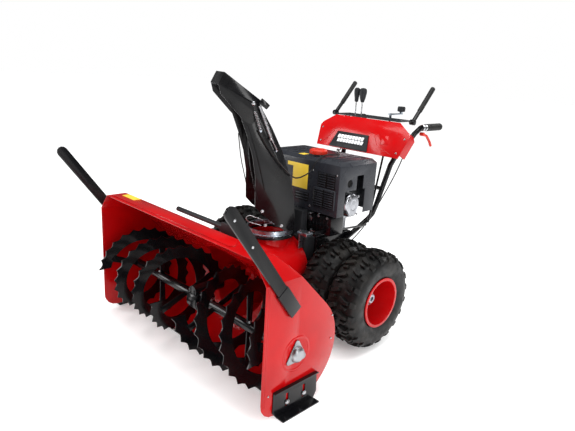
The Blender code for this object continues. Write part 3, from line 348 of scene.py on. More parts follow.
finished(softened("bucket_wrap", 0.0008), "bucket_wrap_sheet", "frame", red, "red_enamel", "bucket_wrap")
for side, name in ((1, "right"), (-1, "left")):
    out = RIGHT * side
    face = side * plate_x
    sheet = softened("bucket_side_" + name, 0.0009)
    # the folded hem: two close ridges that follow the front edge up to the bend
    trims = [sheet]
    for setback, lift in ((0.004, 0.0028), (0.0135, 0.0020)):
        hem = [at(face - side * 0.0008, setback, z) for z in (0.060, 0.480)]
        trims.append(tube(hem, lift, 0))
    # the plate is pressed out in a shallow ring round the bearing
    ring = [(0.052, -0.0008), (0.056, 0.0014), (0.061, 0.0014), (0.066, -0.0008), (0.052, -0.0008)]
    trims.append(turned(ring, at(face, AUGER_BACK, auger_z), out, 48))
    finished(joined(trims), f"bucket_side_{name}_plate", "frame", red, "red_enamel", "bucket_side_" + name)

BUCKET_TOP = 0.555
panel = [
    at(x, y, BUCKET_TOP + 0.0032) for x,
    y in ((-0.455, 0.014), (0.338, 0.014), (0.346, 0.031), (0.302, 0.080), (-0.455, 0.080))
]
finished(plate(panel, 0.0034, 0.0014), "bucket_top_panel", "frame", red, "red_enamel")
label = [
    at(x, y, BUCKET_TOP + 0.0036) for x,
    y in ((-0.430, 0.045), (-0.330, 0.045), (-0.330, 0.078), (-0.430, 0.078))
]
finished(plate(label, 0.0006, 0.0001), "bucket_top_sticker", "frame", yellow, "red_enamel")
studs = []
for side in (1, -1):
    for y, z in ((0.320, 0.300), (0.322, 0.210), (0.030, 0.100)):
        studs.append(carriage_bolt(at(side * plate_x, y, z), RIGHT * side, 0.0035))
finished(joined(studs), "bucket_plate_bolts", "frame", bright, "zinc_plate", smooth=50)

# ---------------------------------------------------------------- scraper and skid shoes
# A wear strip of bare steel under the bucket's floor, and two pressed steel shoes in black enamel. Each shoe
# is held to its plate by two carriage bolts in upright slots, so that its height can be set.
black = dressed(
    "black_gloss_enamel", (0.004, 0.004, 0.005), (0.010, 0.010, 0.010), (0.14, 0.26), 8, 300, 0.0001, 0,
    0.14
)
steel = dressed("ground_steel", (0.46, 0.46, 0.45), (0.30, 0.28, 0.26), (0.28, 0.5), 16, 700, 0.0001, 1.0)
finished(softened("scraper_blade", 0.001), "scraper_strip", "frame", steel, "bare_steel", "scraper_blade")
for side, name in ((1, "right"), (-1, "left")):
    finished(
        softened("skid_shoe_" + name, 0.0022, 3), f"skid_{name}_shoe", "frame", black, "black_enamel",
        "skid_shoe_" + name
    )
    heads = [
        carriage_bolt(at(side * (plate_x + 0.0052), y, 0.046), RIGHT * side, 0.0095) for y in (0.115, 0.195)
    ]
    finished(joined(heads), f"skid_{name}_bolts", "frame", bright, "zinc_plate", smooth=50)

# ---------------------------------------------------------------- drift cutters
# A flat steel bar standing ahead of each end plate, held in a pressed sleeve that lets it slide down when it
# isn't wanted. Both are black enamel, with a zinc bolt through the bar's head and one at the foot.
for side, name in ((1, "right"), (-1, "left")):
    low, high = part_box("drift_cutter_" + name)
    bar = softened("drift_cutter_" + name, 0.0018, 3)
    finished(bar, f"drift_cutter_{name}_bar", "frame", black, "black_enamel", "drift_cutter_" + name)
    outer = high.x if side > 0 else low.x
    bar_in = 1 if abs(outer) - plate_x > 0.0125 else 0
    bolts = [hex_bolt(Vector((outer - side * 0.0052 * foot, at(0, y, 0).y, z)), RIGHT * side, 0.0048)
             for y, z, foot in ((-0.142, 0.722, bar_in), (-0.074, 0.633, bar_in))]
    finished(joined(bolts), f"drift_cutter_{name}_bolts", "frame", bright, "zinc_plate", smooth=50)

# ---------------------------------------------------------------- auger bearing covers
# Cast three-cornered covers over the greased bushings at each end of the auger shaft, bare aluminium, each
# on three bolts.
casting = dressed(
    "sand_cast_aluminium", (0.38, 0.39, 0.41), (0.24, 0.25, 0.26), (0.30, 0.48), 22, 420, 0.0005, 1.0
)
for side, name in ((1, "right"), (-1, "left")):
    cover = softened("bearing_cover_" + name, 0.0012)
    finished(cover, f"bearing_{name}_cap", "frame", casting, "cast_aluminium", "bearing_cover_" + name)

# ---------------------------------------------------------------- augers
# Two pairs of saw-toothed strips rolled into helices of opposite hand, welded to arms on a hub tube that is
# pinned to the shaft. The whole weldment is black enamel, with scattered patches of wear.
AUGER_R, RIBBON_WIDTH, RIBBON_TURNS, RIBBON_WALL = 0.185, 0.058, 1.5, 0.004
RIBBON_FIRST, RIBBON_LAST = 0.075, 0.502
TEETH, NOTCH = 36, 0.013


def toothed_ribbon(side, start):
    """A long strip with notched outer edge, wound round the auger's axis."""
    steps = TEETH * 6
    rows, faces = [], []
    for i in range(steps + 1):
        t = i / steps
        phase = (i % 6) / 6
        cut = NOTCH * (1 - abs(1 - 2 * phase) ** 1.5) if phase else 0
        turn = start + math.tau * RIBBON_TURNS * t
        x = RIBBON_FIRST + (RIBBON_LAST - RIBBON_FIRST) * t + RIBBON_WALL / 2
        for r in (
            AUGER_R - RIBBON_WIDTH, AUGER_R - RIBBON_WIDTH * 0.62, AUGER_R - NOTCH - 0.004, AUGER_R - cut
        ):
            rows.append(tuple(at(side * x, AUGER_BACK + r * math.cos(turn), auger_z + r * math.sin(turn))))
    for i in range(steps):
        for k in range(3):
            a = i * 4 + k
            faces.append((a, a + 1, a + 5, a + 4))
    mesh = bpy.data.meshes.new("ribbon")
    mesh.from_pydata(rows, [], faces)
    strip = linked("ribbon", mesh)
    wall = strip.modifiers.new("thickness", "SOLIDIFY")
    wall.thickness, wall.offset = RIBBON_WALL, 0
    bpy.ops.object.modifier_apply(modifier=wall.name)
    bpy.ops.object.mode_set(mode="EDIT")
    bpy.ops.mesh.select_all(action="SELECT")
    bpy.ops.mesh.normals_make_consistent(inside=False)
    bpy.ops.object.mode_set(mode="OBJECT")
    return strip


def auger_arm(side, start, t):
    """A flat bar from the hub to the strip's inner edge."""
    turn = start + math.tau * RIBBON_TURNS * t
    x = RIBBON_FIRST + (RIBBON_LAST - RIBBON_FIRST) * t + RIBBON_WALL / 2
    radial = Vector((0, math.cos(turn), math.sin(turn)))
    across = Vector((0, -math.sin(turn), math.cos(turn)))
    middle = at(side * x, AUGER_BACK, auger_z)
    corners = []
    for r, w in ((0.0165, -0.011), (0.0165, 0.011), (0.134, 0.015), (0.134, -0.015)):
        corners.append(middle + radial * r + across * w + RIGHT * 0.003)
    return plate(corners, 0.006, 0.0012)


for side, name in ((1, "right"), (-1, "left")):
    parts = []
    for start in (0.0, math.pi):
        parts.append(toothed_ribbon(side, start))
        parts += [auger_arm(side, start, t) for t in (0.04, 0.50, 0.96)]
    hub = [
        (0.0133, 0.060), (0.0178, 0.060), (0.019, 0.0615), (0.019, 0.5085), (0.0178, 0.510),
        (0.0133, 0.510)
    ]
    hub.append(hub[0])
    parts.append(turned([(r, h) for r, h in hub], at(0, AUGER_BACK, auger_z), RIGHT * side, 28))
    finished(joined(parts), f"auger_{name}_flights", "augers", black, "black_enamel", "auger_" + name)
pins = [
    hex_bolt(at(side * x, AUGER_BACK, auger_z + 0.019), UP, 0.006) for side in (1, -1) for x in (0.068, 0.30)
]
finished(joined(pins), "auger_shear_bolts", "augers", bright, "zinc_plate", smooth=50)
finished(softened("auger_shaft", 0.0006), "auger_axle", "augers", steel, "bare_steel", "auger_shaft")

# ---------------------------------------------------------------- gearbox, impeller and drum
# The black-enamelled worm gearbox hangs between the augers and drives them; the welded impeller behind it is
# red, and turns in a rolled drum of red-enamelled sheet with a short outlet neck.
finished(
    softened("auger_gearbox", 0.002, 2), "gearbox_casting", "frame", black, "black_enamel",
    "auger_gearbox"
)
finished(softened("impeller", 0.0008), "impeller_weldment", "impeller", red, "red_enamel", "impeller")
finished(softened("impeller_drum", 0.0008), "impeller_housing", "frame", red, "red_enamel", "impeller_drum")
box_bolts = [hex_bolt(at(0.0305, AUGER_BACK + 0.038 * math.cos(a), auger_z + 0.038 * math.sin(a)), RIGHT, 0.0045)
             for a in [math.tau * i / 6 for i in range(6)]]
finished(joined(box_bolts), "gearbox_bolts", "frame", bright, "zinc_plate", smooth=50)

# ---------------------------------------------------------------- chute, ring and deflector
# A folded sheet chute in black enamel stands on a galvanised ring that turns on the bolted neck flange. Its
# hood tips on two shoulder bolts, and a coil spring and a sleeved strut on the near wall work it.
zinc = dressed(
    "galvanised_plate", (0.46, 0.51, 0.57), (0.32, 0.36, 0.41), (0.24, 0.42), 30, 240, 0.00012, 1.0
)
near = Vector(next(j["axis"] for j in frame["joints"] if j["name"] == "deflector_tilt"))
throw = Vector((near.y, -near.x, 0))
ring_seat = at(0, 0.5, 0.4356)


def beside_chute(forward, rise, out):
    """A place on the chute: ahead of its axis, above its ring, and out towards the near wall."""
    return ring_seat + throw * forward + UP * rise + near * out


finished(softened("chute_flange", 0.0014), "neck_flange_ring", "frame", black, "black_enamel", "chute_flange")
finished(softened("chute_ring", 0.0012), "chute_turning_ring", "chute", zinc, "zinc_plate", "chute_ring")
collar = []
for i in range(8):
    a = math.tau * (i + 0.3) / 8
    collar.append(
        hex_bolt(ring_seat + Vector((0.1100 * math.cos(a), 0.1100 * math.sin(a), -0.0008)), UP, 0.0026)
    )
finished(joined(collar), "flange_bolts", "frame", bright, "zinc_plate", smooth=50)

chute = [softened("chute_body", 0.0010)]
WALL = 0.0852  # from the chute's middle to the outside of its side wall
# a pressed fold down each wall and a doubled front edge stiffen the sheet
for out in (WALL, -WALL):
    chute.append(
        tube(
            [
                beside_chute(f, r, out) for f,
                r in ((0.132, 0.459), (0.105, 0.390), (0.076, 0.300), (0.050, 0.200))
            ],
            0.0026, 0.03
        )
    )
    chute.append(
        tube(
            [
                beside_chute(f, r, out - math.copysign(0.001, out)) for f,
                r in ((0.128, 0.405), (0.114, 0.300), (0.079, 0.160))
            ],
            0.0022, 0.03
        )
    )
finished(joined(chute), "chute_folded_sheet", "chute", black, "black_enamel", "chute_body")
finished(
    softened("deflector_hood", 0.0010), "deflector_folded_hood", "deflector", black, "black_enamel",
    "deflector_hood"
)

hinges = [carriage_bolt(beside_chute(0.111, 0.5424, s * 0.0895), near * s, 0.0085) for s in (1, -1)]
finished(joined(hinges), "deflector_hinge_bolts", "chute", bright, "zinc_plate", smooth=50)
strut_side = 0.0990
strut = [
    tube([beside_chute(0.088, 0.535, strut_side), beside_chute(0.036, 0.412, strut_side)], 0.0056, 0),
    tube([beside_chute(0.036, 0.412, strut_side), beside_chute(0.009, 0.361, strut_side)], 0.0030, 0),
    turned(
        [(0, 0), (0.0068, 0), (0.0068, 0.010), (0, 0.010)], beside_chute(0.034, 0.405, strut_side),
        Vector(throw) * 0.39 + UP * 0.92, 20
    ),
]
finished(joined(strut), "deflector_strut", "chute", bright, "zinc_plate")
coil = []
for i in range(12 * 13 + 1):
    t, a = i / 156, math.tau * i / 12
    middle = beside_chute(0.106 - 0.026 * t, 0.512 - 0.072 * t, strut_side + 0.002)
    coil.append(middle + throw * 0.0068 * math.cos(a) + near * 0.0068 * math.sin(a))
finished(tube(coil, 0.0013, 0), "deflector_return_spring", "chute", bright, "bare_steel", "deflector_spring")
latch = plate(
    [
        beside_chute(f, r, strut_side + 0.004) for f,
        r in ((0.051, 0.539), (0.064, 0.522), (0.096, 0.545), (0.083, 0.565))
    ],
    0.012, 0.003
)
finished(latch, "deflector_latch_block", "chute", black, "black_enamel")
clip_path = [(0.060, 0.052), (0.112, 0.068), (0.128, 0.086), (0.112, 0.098), (0.060, 0.078), (0.044, 0.066)]
clip = tube([beside_chute(f, r, WALL + 0.006) for f, r in clip_path], 0.0017, 0.010)
finished(clip, "chute_retaining_clip", "chute", bright, "zinc_plate")
lugs = [
    turned(
        [(0, -0.008), (0.0045, -0.008), (0.0045, 0.004), (0.003, 0.006), (0, 0.006)],
        beside_chute(0.012, 0.361, strut_side - 0.004), near, 16
    ),
    turned(
        [(0, -0.008), (0.005, -0.008), (0.005, 0.004), (0.0035, 0.006), (0, 0.006)],
        beside_chute(0.080, 0.438, strut_side - 0.003), near, 16
    ),
]
finished(joined(lugs), "deflector_strut_studs", "chute", zinc, "zinc_plate")
clamps = [
    hex_bolt(beside_chute(f, r, WALL + 0.0002), near, 0.0042) for f,
    r in ((0.040, 0.050), (-0.030, 0.045), (0.056, 0.110))
]
finished(joined(clamps), "chute_foot_bolts", "chute", bright, "zinc_plate", smooth=50)

# ---------------------------------------------------------------- wheels
# Four pneumatic snow tyres with deep chevron lugs, paired on deep-dished red steel rims. A turned hub with a
# silver click pin locks each outer rim to its axle.
rubber = dressed("tyre_rubber", (0.006, 0.006, 0.006), (0.018, 0.016, 0.014), (0.34, 0.58), 14, 380, 0.0003)
TYRE_R, TYRE_HALF = 0.210, 0.075
LUGS_ROUND = 20
axle = at(0, 0.708, TYRE_R)


def lug(outline, base, top):
    """A block of tread: its (across, round) outline stood on the carcass and drafted towards its top."""
    points, faces = [], []
    n = len(outline)
    cx = sum(p[0] for p in outline) / n
    cy = sum(p[1] for p in outline) / n
    for radius, shrink in ((base, 1.0), (top, 0.86)):
        for across, along in outline:
            u, v = cx + (across - cx) * shrink, cy + (along - cy) * shrink
            fall = 0.030 * (abs(u) / TYRE_HALF) ** 3.4
            r = radius - fall
            a = v / TYRE_R
            points.append(axle + Vector((u, r * math.cos(a), r * math.sin(a))))
    faces.append(tuple(range(n, 2 * n)))
    faces.append(tuple(reversed(range(n))))
    faces += [(i, (i + 1) % n, n + (i + 1) % n, n + i) for i in range(n)]
    mesh = bpy.data.meshes.new("lug")
    mesh.from_pydata([tuple(p) for p in points], [], faces)
    return linked("lug", mesh)


def treaded_tyre(middle_x, facing):
    half = TYRE_HALF
    profile = [
        (0.1035, -half + 0.020), (0.108, -half + 0.009), (0.122, -half + 0.003), (0.150, -half + 0.0005),
        (0.170, -half + 0.002), (0.180, -half + 0.008), (0.187, -half + 0.018), (0.192, -half + 0.038),
        (0.194, 0),
    ]
    profile += [(r, -h) for r, h in reversed(profile[:-1])]
    profile.append(profile[0])
    carcass = turned(profile, axle, RIGHT, 72)
    blocks = []
    pitch = math.tau * TYRE_R / LUGS_ROUND
    for s in (1, -1):
        shift = pitch / 2 if s < 0 else 0
        arm = [
            (0.004, 0.000), (0.014, 0.000), (0.038, 0.014), (0.050, 0.014), (0.050, 0.030),
            (0.036, 0.031), (0.004, 0.016)
        ]
        shoulder = [(0.054, 0.008), (0.0715, 0.012), (0.0715, 0.040), (0.054, 0.037)]
        small = [(0.018, 0.034), (0.044, 0.042), (0.044, 0.052), (0.018, 0.048)]
        for outline in (arm, shoulder, small):
            mirrored_outline = [(s * u, v + shift) for u, v in outline]
            if s < 0:
                mirrored_outline.reverse()
            blocks.append(lug(mirrored_outline, 0.184, TYRE_R - 0.0004))
    first = joined(blocks)
    bevelled(first, 0.0012, 1, 40)
    ringed = [first]
    for i in range(1, LUGS_ROUND):
        turned_lugs = linked("lugs", first.data.copy())
        turned_lugs.data.transform(
            Matrix.Translation(axle) @ Matrix.Rotation(
                math.tau * i / LUGS_ROUND, 4, "X"
            ) @ Matrix.Translation(-axle)
        )
        ringed.append(turned_lugs)
    tyre = joined([carcass, *ringed])
    # the tread is drawn for a wheel whose chevrons point forward at the top; the left pair is its mirror
    tyre.data.transform(Matrix.Translation((middle_x, 0, 0)) @ Matrix.Diagonal((facing, 1, 1, 1)))
    bpy.ops.object.mode_set(mode="EDIT")
    bpy.ops.mesh.select_all(action="SELECT")
    bpy.ops.mesh.normals_make_consistent(inside=False)
    bpy.ops.object.mode_set(mode="OBJECT")
    return tyre


for side, name in ((1, "right"), (-1, "left")):
    body = "wheels_" + name
    for place in ("inner", "outer"):
        low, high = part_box(f"tyre_{name}_{place}")
        tyre = treaded_tyre((low.x + high.x) / 2, side)
        finished(
            tyre, f"tyre_{name}_{place}_treaded", body, rubber, "tyre", f"tyre_{name}_{place}", smooth=28
        )
        rim = softened(f"rim_{name}_{place}", 0.0010, 2, 30)
        finished(rim, f"rim_{name}_{place}_dished", body, red, "red_enamel", f"rim_{name}_{place}", smooth=35)
    finished(softened("axle_" + name, 0.0012), f"axle_{name}_bar", body, steel, "bare_steel", "axle_" + name)
    hub = turned(
        [(0.0100, 0), (0.0205, 0), (0.0205, 0.024), (0.0185, 0.0262), (0.0100, 0.0262), (0.0100, 0)],
        Vector((side * 0.4015, axle.y, axle.z)), RIGHT * side, 32,
    )
    finished(hub, f"hub_{name}_collar", body, zinc, "zinc_plate")
    pin = tube(
        [Vector((side * 0.4105, axle.y, axle.z - 0.033)), Vector((side * 0.4105, axle.y, axle.z + 0.033))],
        0.003, 0
    )
    loop = tube(
        [
            Vector((side * 0.4105, axle.y + dy, axle.z + dz)) for dy,
            dz in ((0, 0.031), (0.012, 0.036), (0.026, 0.022), (0.026, -0.022), (0.012, -0.036), (0, -0.031))
        ],
        0.0016, 0.008
    )
    finished(joined([pin, loop]), f"hub_{name}_click_pin", body, bright, "zinc_plate")

# ---------------------------------------------------------------- chassis, belt drive and its cover
# The chassis is a folded black steel box behind the drum; the belt cover between them is moulded plastic over
# two pulleys and one rubber-covered belt.
moulded = dressed(
    "moulded_black_plastic", (0.016, 0.017, 0.019), (0.026, 0.027, 0.030), (0.34, 0.48), 12, 900, 0.00018
)
hose = dressed(
    "black_rubber_sleeve", (0.014, 0.014, 0.014), (0.026, 0.025, 0.024), (0.42, 0.6), 18, 700, 0.0001
)
finished(softened("chassis", 0.0016), "chassis_folded_box", "frame", black, "black_enamel", "chassis")
finished(
    softened("belt_cover", 0.0020, 3), "belt_cover_moulding", "frame", moulded, "black_plastic",
    "belt_cover"
)
finished(softened("drive_belt", 0.0006), "drive_belt_loop", "frame", hose, "rubber", "drive_belt")
finished(softened("crankshaft", 0.0006), "crankshaft_pulley", "crankshaft", steel, "bare_steel", "crankshaft")
rails = [
    hex_bolt(at(s * 0.1372, y, z), RIGHT * s, 0.0055) for s in (1, -1) for y,
    z in ((0.70, 0.36), (0.86, 0.36), (0.86, 0.20))
]
finished(joined(rails), "chassis_bolts", "frame", bright, "zinc_plate", smooth=50)

# ---------------------------------------------------------------- engine
# A single-cylinder petrol engine: a finned aluminium block and bright rocker cover under a charcoal moulded
# shroud with pressed louvres, a raised grille and blank yellow stickers. The filler cap is red and ribbed.
charcoal = dressed(
    "charcoal_shroud_plastic", (0.020, 0.022, 0.028), (0.030, 0.033, 0.040), (0.24, 0.38), 9, 800,
    0.00022, 0, 0.15
)
polished = dressed(
    "bright_rocker_cover", (0.46, 0.47, 0.50), (0.30, 0.31, 0.33), (0.22, 0.38), 26, 500, 0.00012, 1.0
)
low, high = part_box("engine_block")
engine = [softened("engine_block", 0.003, 3)]
for i in range(7):
    z = 0.505 + i * 0.0135
    engine.append(
        slab((high.x - 0.045, at(0, 0.722, 0).y, z), (high.x + 0.005, at(0, 0.822, 0).y, z + 0.004), 0.0012)
    )
front = at(0, 0.6795, 0).y
for x, z, r in (
    (-0.060, 0.470, 0.030), (0.020, 0.450, 0.024), (0.085, 0.485, 0.032), (0.095, 0.430, 0.018),
    (-0.020, 0.515, 0.020)
):
    engine.append(
        turned(
            [
                (0, -0.006), (r, -0.006), (r, 0.004), (r * 0.9, 0.009), (r * 0.4, 0.010),
                (r * 0.35, 0.014), (0, 0.014)
            ],
            Vector((x, front, z)), FRONT, 28
        )
    )
for x in (-0.095, -0.030, 0.050, 0.125):
    engine.append(slab((x, front - 0.006, 0.412), (x + 0.006, front + 0.01, 0.545), 0.0015))
finished(joined(engine), "engine_castings", "frame", casting, "cast_aluminium", "engine_block", smooth=35)
guard = [slab((0.070, front - 0.011, 0.428), (0.206, front + 0.075, 0.512), 0.006)]
for i in range(6):
    guard.append(
        slab((0.080 + i * 0.020, front - 0.0135, 0.440), (0.090 + i * 0.020, front - 0.008, 0.500), 0.0015)
    )
finished(joined(guard), "engine_lower_guard", "frame", black, "black_plastic")
block_bolts = [
    hex_bolt(Vector((x, front - 0.0005, z)), FRONT, 0.0050) for x,
    z in ((-0.078, 0.432), (-0.010, 0.482), (0.052, 0.420), (-0.095, 0.535))
]
block_bolts += [hex_bolt(Vector((x, front - 0.0112, 0.506)), FRONT, 0.0048) for x in (0.084, 0.132, 0.182)]
finished(joined(block_bolts), "engine_block_bolts", "frame", bright, "zinc_plate", smooth=50)

cover = [softened("rocker_cover", 0.004, 4)]
dome_middle = at(0.228, 0.765, 0.564)
dome = turned(
    [(0, -0.006), (0.046, -0.006), (0.047, 0.002), (0.044, 0.008), (0.038, 0.0115), (0, 0.0125)],
    dome_middle, RIGHT, 48
)
dome.data.transform(
    Matrix.Translation(dome_middle) @ Matrix.Diagonal((1, 1.02, 1.04, 1)) @ Matrix.Translation(-dome_middle)
)
cover.append(dome)
cover_middle = at(0.239, 0.770, 0.562)
emboss = turned(
    [(0, -0.003), (0.022, -0.003), (0.020, 0.0012), (0.016, 0.0012), (0.014, -0.0006), (0, -0.0006)],
    cover_middle, RIGHT, 36
)
emboss.data.transform(
    Matrix.Translation(cover_middle) @ Matrix.Diagonal((1, 1.15, 1.35, 1)) @ Matrix.Translation(-cover_middle)
)
cover.append(emboss)
finished(
    joined(cover), "rocker_cover_pressing", "frame", polished, "cast_aluminium", "rocker_cover", smooth=40
)
cover_bolts = [
    hex_bolt(at(0.2395, y, z), RIGHT, 0.0036) for y,
    z in ((0.742, 0.520), (0.798, 0.520), (0.742, 0.599), (0.798, 0.599))
]
finished(joined(cover_bolts), "rocker_cover_bolts", "frame", bright, "zinc_plate", smooth=50)

shroud = [softened("engine_shroud", 0.0045, 4, 30)]
face = at(0, 0.665, 0).y
for first_x, last_x in ((0.122, 0.162), (0.171, 0.211)):
    for i in range(6):
        z = 0.640 + i * 0.0105
        shroud.append(slab((first_x, face - 0.0030, z), (last_x, face + 0.003, z + 0.0048), 0.0014))
shroud.append(slab((0.100, face - 0.0070, 0.546), (0.222, face + 0.004, 0.633), 0.0040))
for first_x, last_x in ((0.108, 0.157), (0.165, 0.214)):
    for i in range(8):
        z = 0.5545 + i * 0.0098
        shroud.append(slab((first_x, face - 0.0104, z), (last_x, face - 0.004, z + 0.0046), 0.0014))
for i in range(3):
    z = 0.560 + i * 0.0125
    shroud.append(slab((-0.008, face - 0.0030, z), (0.066, face + 0.003, z + 0.0055), 0.0014))
shroud.append(slab((-0.200, face - 0.0035, 0.548), (-0.085, face + 0.003, 0.716), 0.0035))
# raised ribs over the shroud's top and round the pull starter at its back
for x in (-0.160, -0.120, -0.080, 0.125, 0.160):
    shroud.append(slab((x, at(0, 0.695, 0).y, 0.752), (x + 0.010, at(0, 0.880, 0).y, 0.7565), 0.0015))
back = at(0, 0.9425, 0).y
for i in range(16):
    a = math.tau * i / 16
    middle = Vector((-0.020 + 0.062 * math.cos(a), back - 0.0006, 0.635 + 0.062 * math.sin(a)))
    rib = slab(middle - Vector((0.0025, 0.002, 0.018)), middle + Vector((0.0025, 0.0022, 0.018)), 0.0008)
    rib.data.transform(
        Matrix.Translation(middle) @ Matrix.Rotation(math.pi / 2 - a, 4, "Y") @ Matrix.Translation(-middle)
    )
    shroud.append(rib)
# near-black wells behind the louvres and the round cooling hole: painted shade standing in for the dark inside
# of the slots
wells = [
    slab((0.118, face - 0.0012, 0.636), (0.215, face + 0.002, 0.700), 0.0005),
    slab((0.105, face - 0.0082, 0.551), (0.217, face - 0.0050, 0.629), 0.0005),
    slab((-0.012, face - 0.0012, 0.556), (0.070, face + 0.002, 0.594), 0.0005),
]
# the round cooling hole in the right side is blind: its well stands behind the wall
wells.append(
    turned([(0, -0.004), (0.0165, -0.004), (0.0165, 0), (0, 0)], at(0.2315, 0.738, 0.660), RIGHT, 28)
)
# a near-black finish that is painted shade, not the plastic's own colour
shade = dressed(
    "louvre_wells_painted_shade", (0.0015, 0.0015, 0.0018), (0.003, 0.003, 0.003), (0.6, 0.8), 20, 600, 0.0001
)
finished(joined(wells), "shroud_louvre_painted_shade", "frame", shade, "black_plastic")
finished(joined(shroud), "engine_shroud_moulding", "frame", charcoal, "black_plastic", "engine_shroud")
stickers = []
for outline in (
    ((-0.034, 0.609), (0.058, 0.609), (0.058, 0.717), (-0.069, 0.717), (-0.069, 0.700), (-0.034, 0.700)),
    ):
    stickers.append(plate([Vector((x, face - 0.0007, z)) for x, z in outline], 0.0006, 0.0001))
stickers.append(
    plate(
        [
            at(x, y, z + 0.0006) for x, y,
            z in (
                (-0.022, 0.6805, 0.754), (0.010, 0.6805, 0.754), (0.010, 0.720, 0.754),
                (-0.022, 0.720, 0.754)
            )
        ],
        0.0008, 0.0001
    )
)
finished(joined(stickers), "shroud_stickers", "frame", yellow, "black_plastic")
screws = [
    carriage_bolt(Vector((x, face - 0.0002, z)), FRONT, 0.0045) for x,
    z in ((0.222, 0.700), (-0.205, 0.735), (0.085, 0.700), (0.080, 0.540), (-0.205, 0.535))
]
finished(joined(screws), "shroud_screws", "frame", bright, "zinc_plate", smooth=50)

low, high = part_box("fuel_cap")
cap_middle = Vector(((low.x + high.x) / 2, (low.y + high.y) / 2, low.z))
cap = [
    turned(
        [
            (0, 0), (0.0375, 0), (0.0375, 0.015), (0.033, 0.0205), (0.024, 0.0215), (0.022, 0.0195),
            (0, 0.0195)
        ],
        cap_middle, UP, 48
    )
]
for i in range(28):
    a = math.tau * i / 28
    spot = cap_middle + Vector((0.0372 * math.cos(a), 0.0372 * math.sin(a), 0.0080))
    rib = slab(spot - Vector((0.0022, 0.0018, 0.0072)), spot + Vector((0.0022, 0.0018, 0.0072)), 0.0007)
    rib.data.transform(Matrix.Translation(spot) @ Matrix.Rotation(a, 4, "Z") @ Matrix.Translation(-spot))
    cap.append(rib)
cap.append(
    slab(cap_middle + Vector((-0.020, -0.004, 0.018)), cap_middle + Vector((0.020, 0.004, 0.0218)), 0.0012)
)
orange = dressed(
    "red_filler_plastic", (0.56, 0.025, 0.010), (0.48, 0.03, 0.015), (0.3, 0.42), 20, 800, 0.0001
)
finished(joined(cap), "fuel_filler_cap", "fuel_cap", orange, "red_enamel", "fuel_cap")
finished(
    softened("recoil_handle", 0.0025, 3), "recoil_grip", "recoil_handle", moulded, "black_plastic",
    "recoil_handle"
)

# ---------------------------------------------------------------- handles
# Two bent tubes in black enamel run up from the chassis to ribbed rubber grips with steel clamps, each
# with a long control bail and a short trigger.
finished(
    softened("handle_frame", 0), "handle_tubes", "frame", black, "black_enamel", "handle_frame", smooth=50
)
for side, name in ((1, "right"), (-1, "left")):
    x = side * 0.235
    profile = [(0.0134, 0.0005), (0.0170, 0.0005), (0.0175, 0.004)]
    for i in range(14):
        h = 0.010 + i * 0.0080
        profile += [(0.0175, h), (0.0164, h + 0.0018), (0.0164, h + 0.0036), (0.0175, h + 0.0054)]
    profile += [
        (0.0175, 0.1225), (0.0150, 0.1275), (0, 0.1279), (0, 0.1250), (0.0134, 0.1250), (0.0134, 0.0005)
    ]
    grip = turned(profile, at(x, 1.292, 0.876), BACK, 28)
    finished(grip, f"grip_{name}_ribbed", "frame", hose, "rubber", "grip_" + name)
    clamp = [
        turned(
            [(0.0128, 0), (0.0150, 0), (0.0150, 0.014), (0.0128, 0.014), (0.0128, 0)], at(x, y, 0.876),
            BACK, 24
        ) for y in (1.2725, 1.2495)
    ]
    clamp.append(hex_bolt(at(x, 1.2795, 0.8905), UP, 0.0035))
    finished(joined(clamp), f"grip_{name}_clamps", "frame", bright, "zinc_plate")
    finished(
        softened("bail_" + name, 0.0015), f"bail_{name}_lever", "bail_" + name, black, "black_enamel",
        "bail_" + name, smooth=48
    )
    sleeve = tube([at(x, 1.213, 0.955), at(x, 1.309, 1.0605)], 0.0120, 0)
    finished(bevelled(sleeve, 0.002), f"bail_{name}_sleeve", "bail_" + name, hose, "rubber", smooth=40)
    finished(
        softened("trigger_" + name, 0.0012), f"trigger_{name}_lever", "trigger_" + name, orange,
        "red_enamel", "trigger_" + name, smooth=48
    )

# ---------------------------------------------------------------- dashboard, lamp and control deck
# A folded red panel carries the work lamp, a black moulded bezel round two rows of white diodes, and above it
# the deck with the shift lever, the deflector lever and the chute crank.
finished(softened("dashboard", 0.0030, 3), "dashboard_panel", "frame", red, "red_enamel", "dashboard")
lean = math.atan2(0.075, 0.155)
dash_foot = at(0, 1.050, 0.745)
dash_up = Vector((0, math.sin(lean), math.cos(lean)))
dash_out = Vector((0, -math.cos(lean), math.sin(lean)))


def on_dash(x, up, out=0.0):
    return dash_foot + RIGHT * x + dash_up * up + dash_out * out


glass = dressed(
    "frosted_lamp_lens", (0.86, 0.88, 0.90), (0.74, 0.77, 0.80), (0.12, 0.22), 30, 500, 0.0001, 0, 0.4
)
glow = glass.node_tree.nodes["Principled BSDF"]
glow.inputs["Emission Color"].default_value, glow.inputs["Emission Strength"].default_value = (1, 1, 1, 1), 0.08
bezel = softened("headlight", 0.0025, 3)
finished(bezel, "lamp_bezel", "frame", moulded, "black_plastic", "headlight")
bar = plate(
    [on_dash(x, u, 0.0072) for x, u in ((-0.123, 0.028), (0.040, 0.028), (0.052, 0.072), (-0.138, 0.072))],
    0.003, 0.0008
)
finished(bar, "lamp_tray", "frame", moulded, "black_plastic")
cells = []
for row, u in enumerate((0.0305, 0.0515)):
    for i in range(9):
        x0 = -0.122 + i * 0.0180 - row * 0.004
        cell = [
            on_dash(x0, u, 0.0086), on_dash(x0 + 0.0150, u, 0.0086),
            on_dash(x0 + 0.0175, u + 0.018, 0.0086), on_dash(x0 + 0.0025, u + 0.018, 0.0086)
        ]
        cells.append(plate(cell, 0.0022, 0.0010))
finished(joined(cells), "lamp_diode_cells", "frame", glass, "lamp_lens")
square = [
    plate(
        [on_dash(x, u, 0.0012) for x, u in ((0.132, 0.054), (0.175, 0.057), (0.161, 0.098), (0.105, 0.103))],
        0.002, 0.0010
    )
]
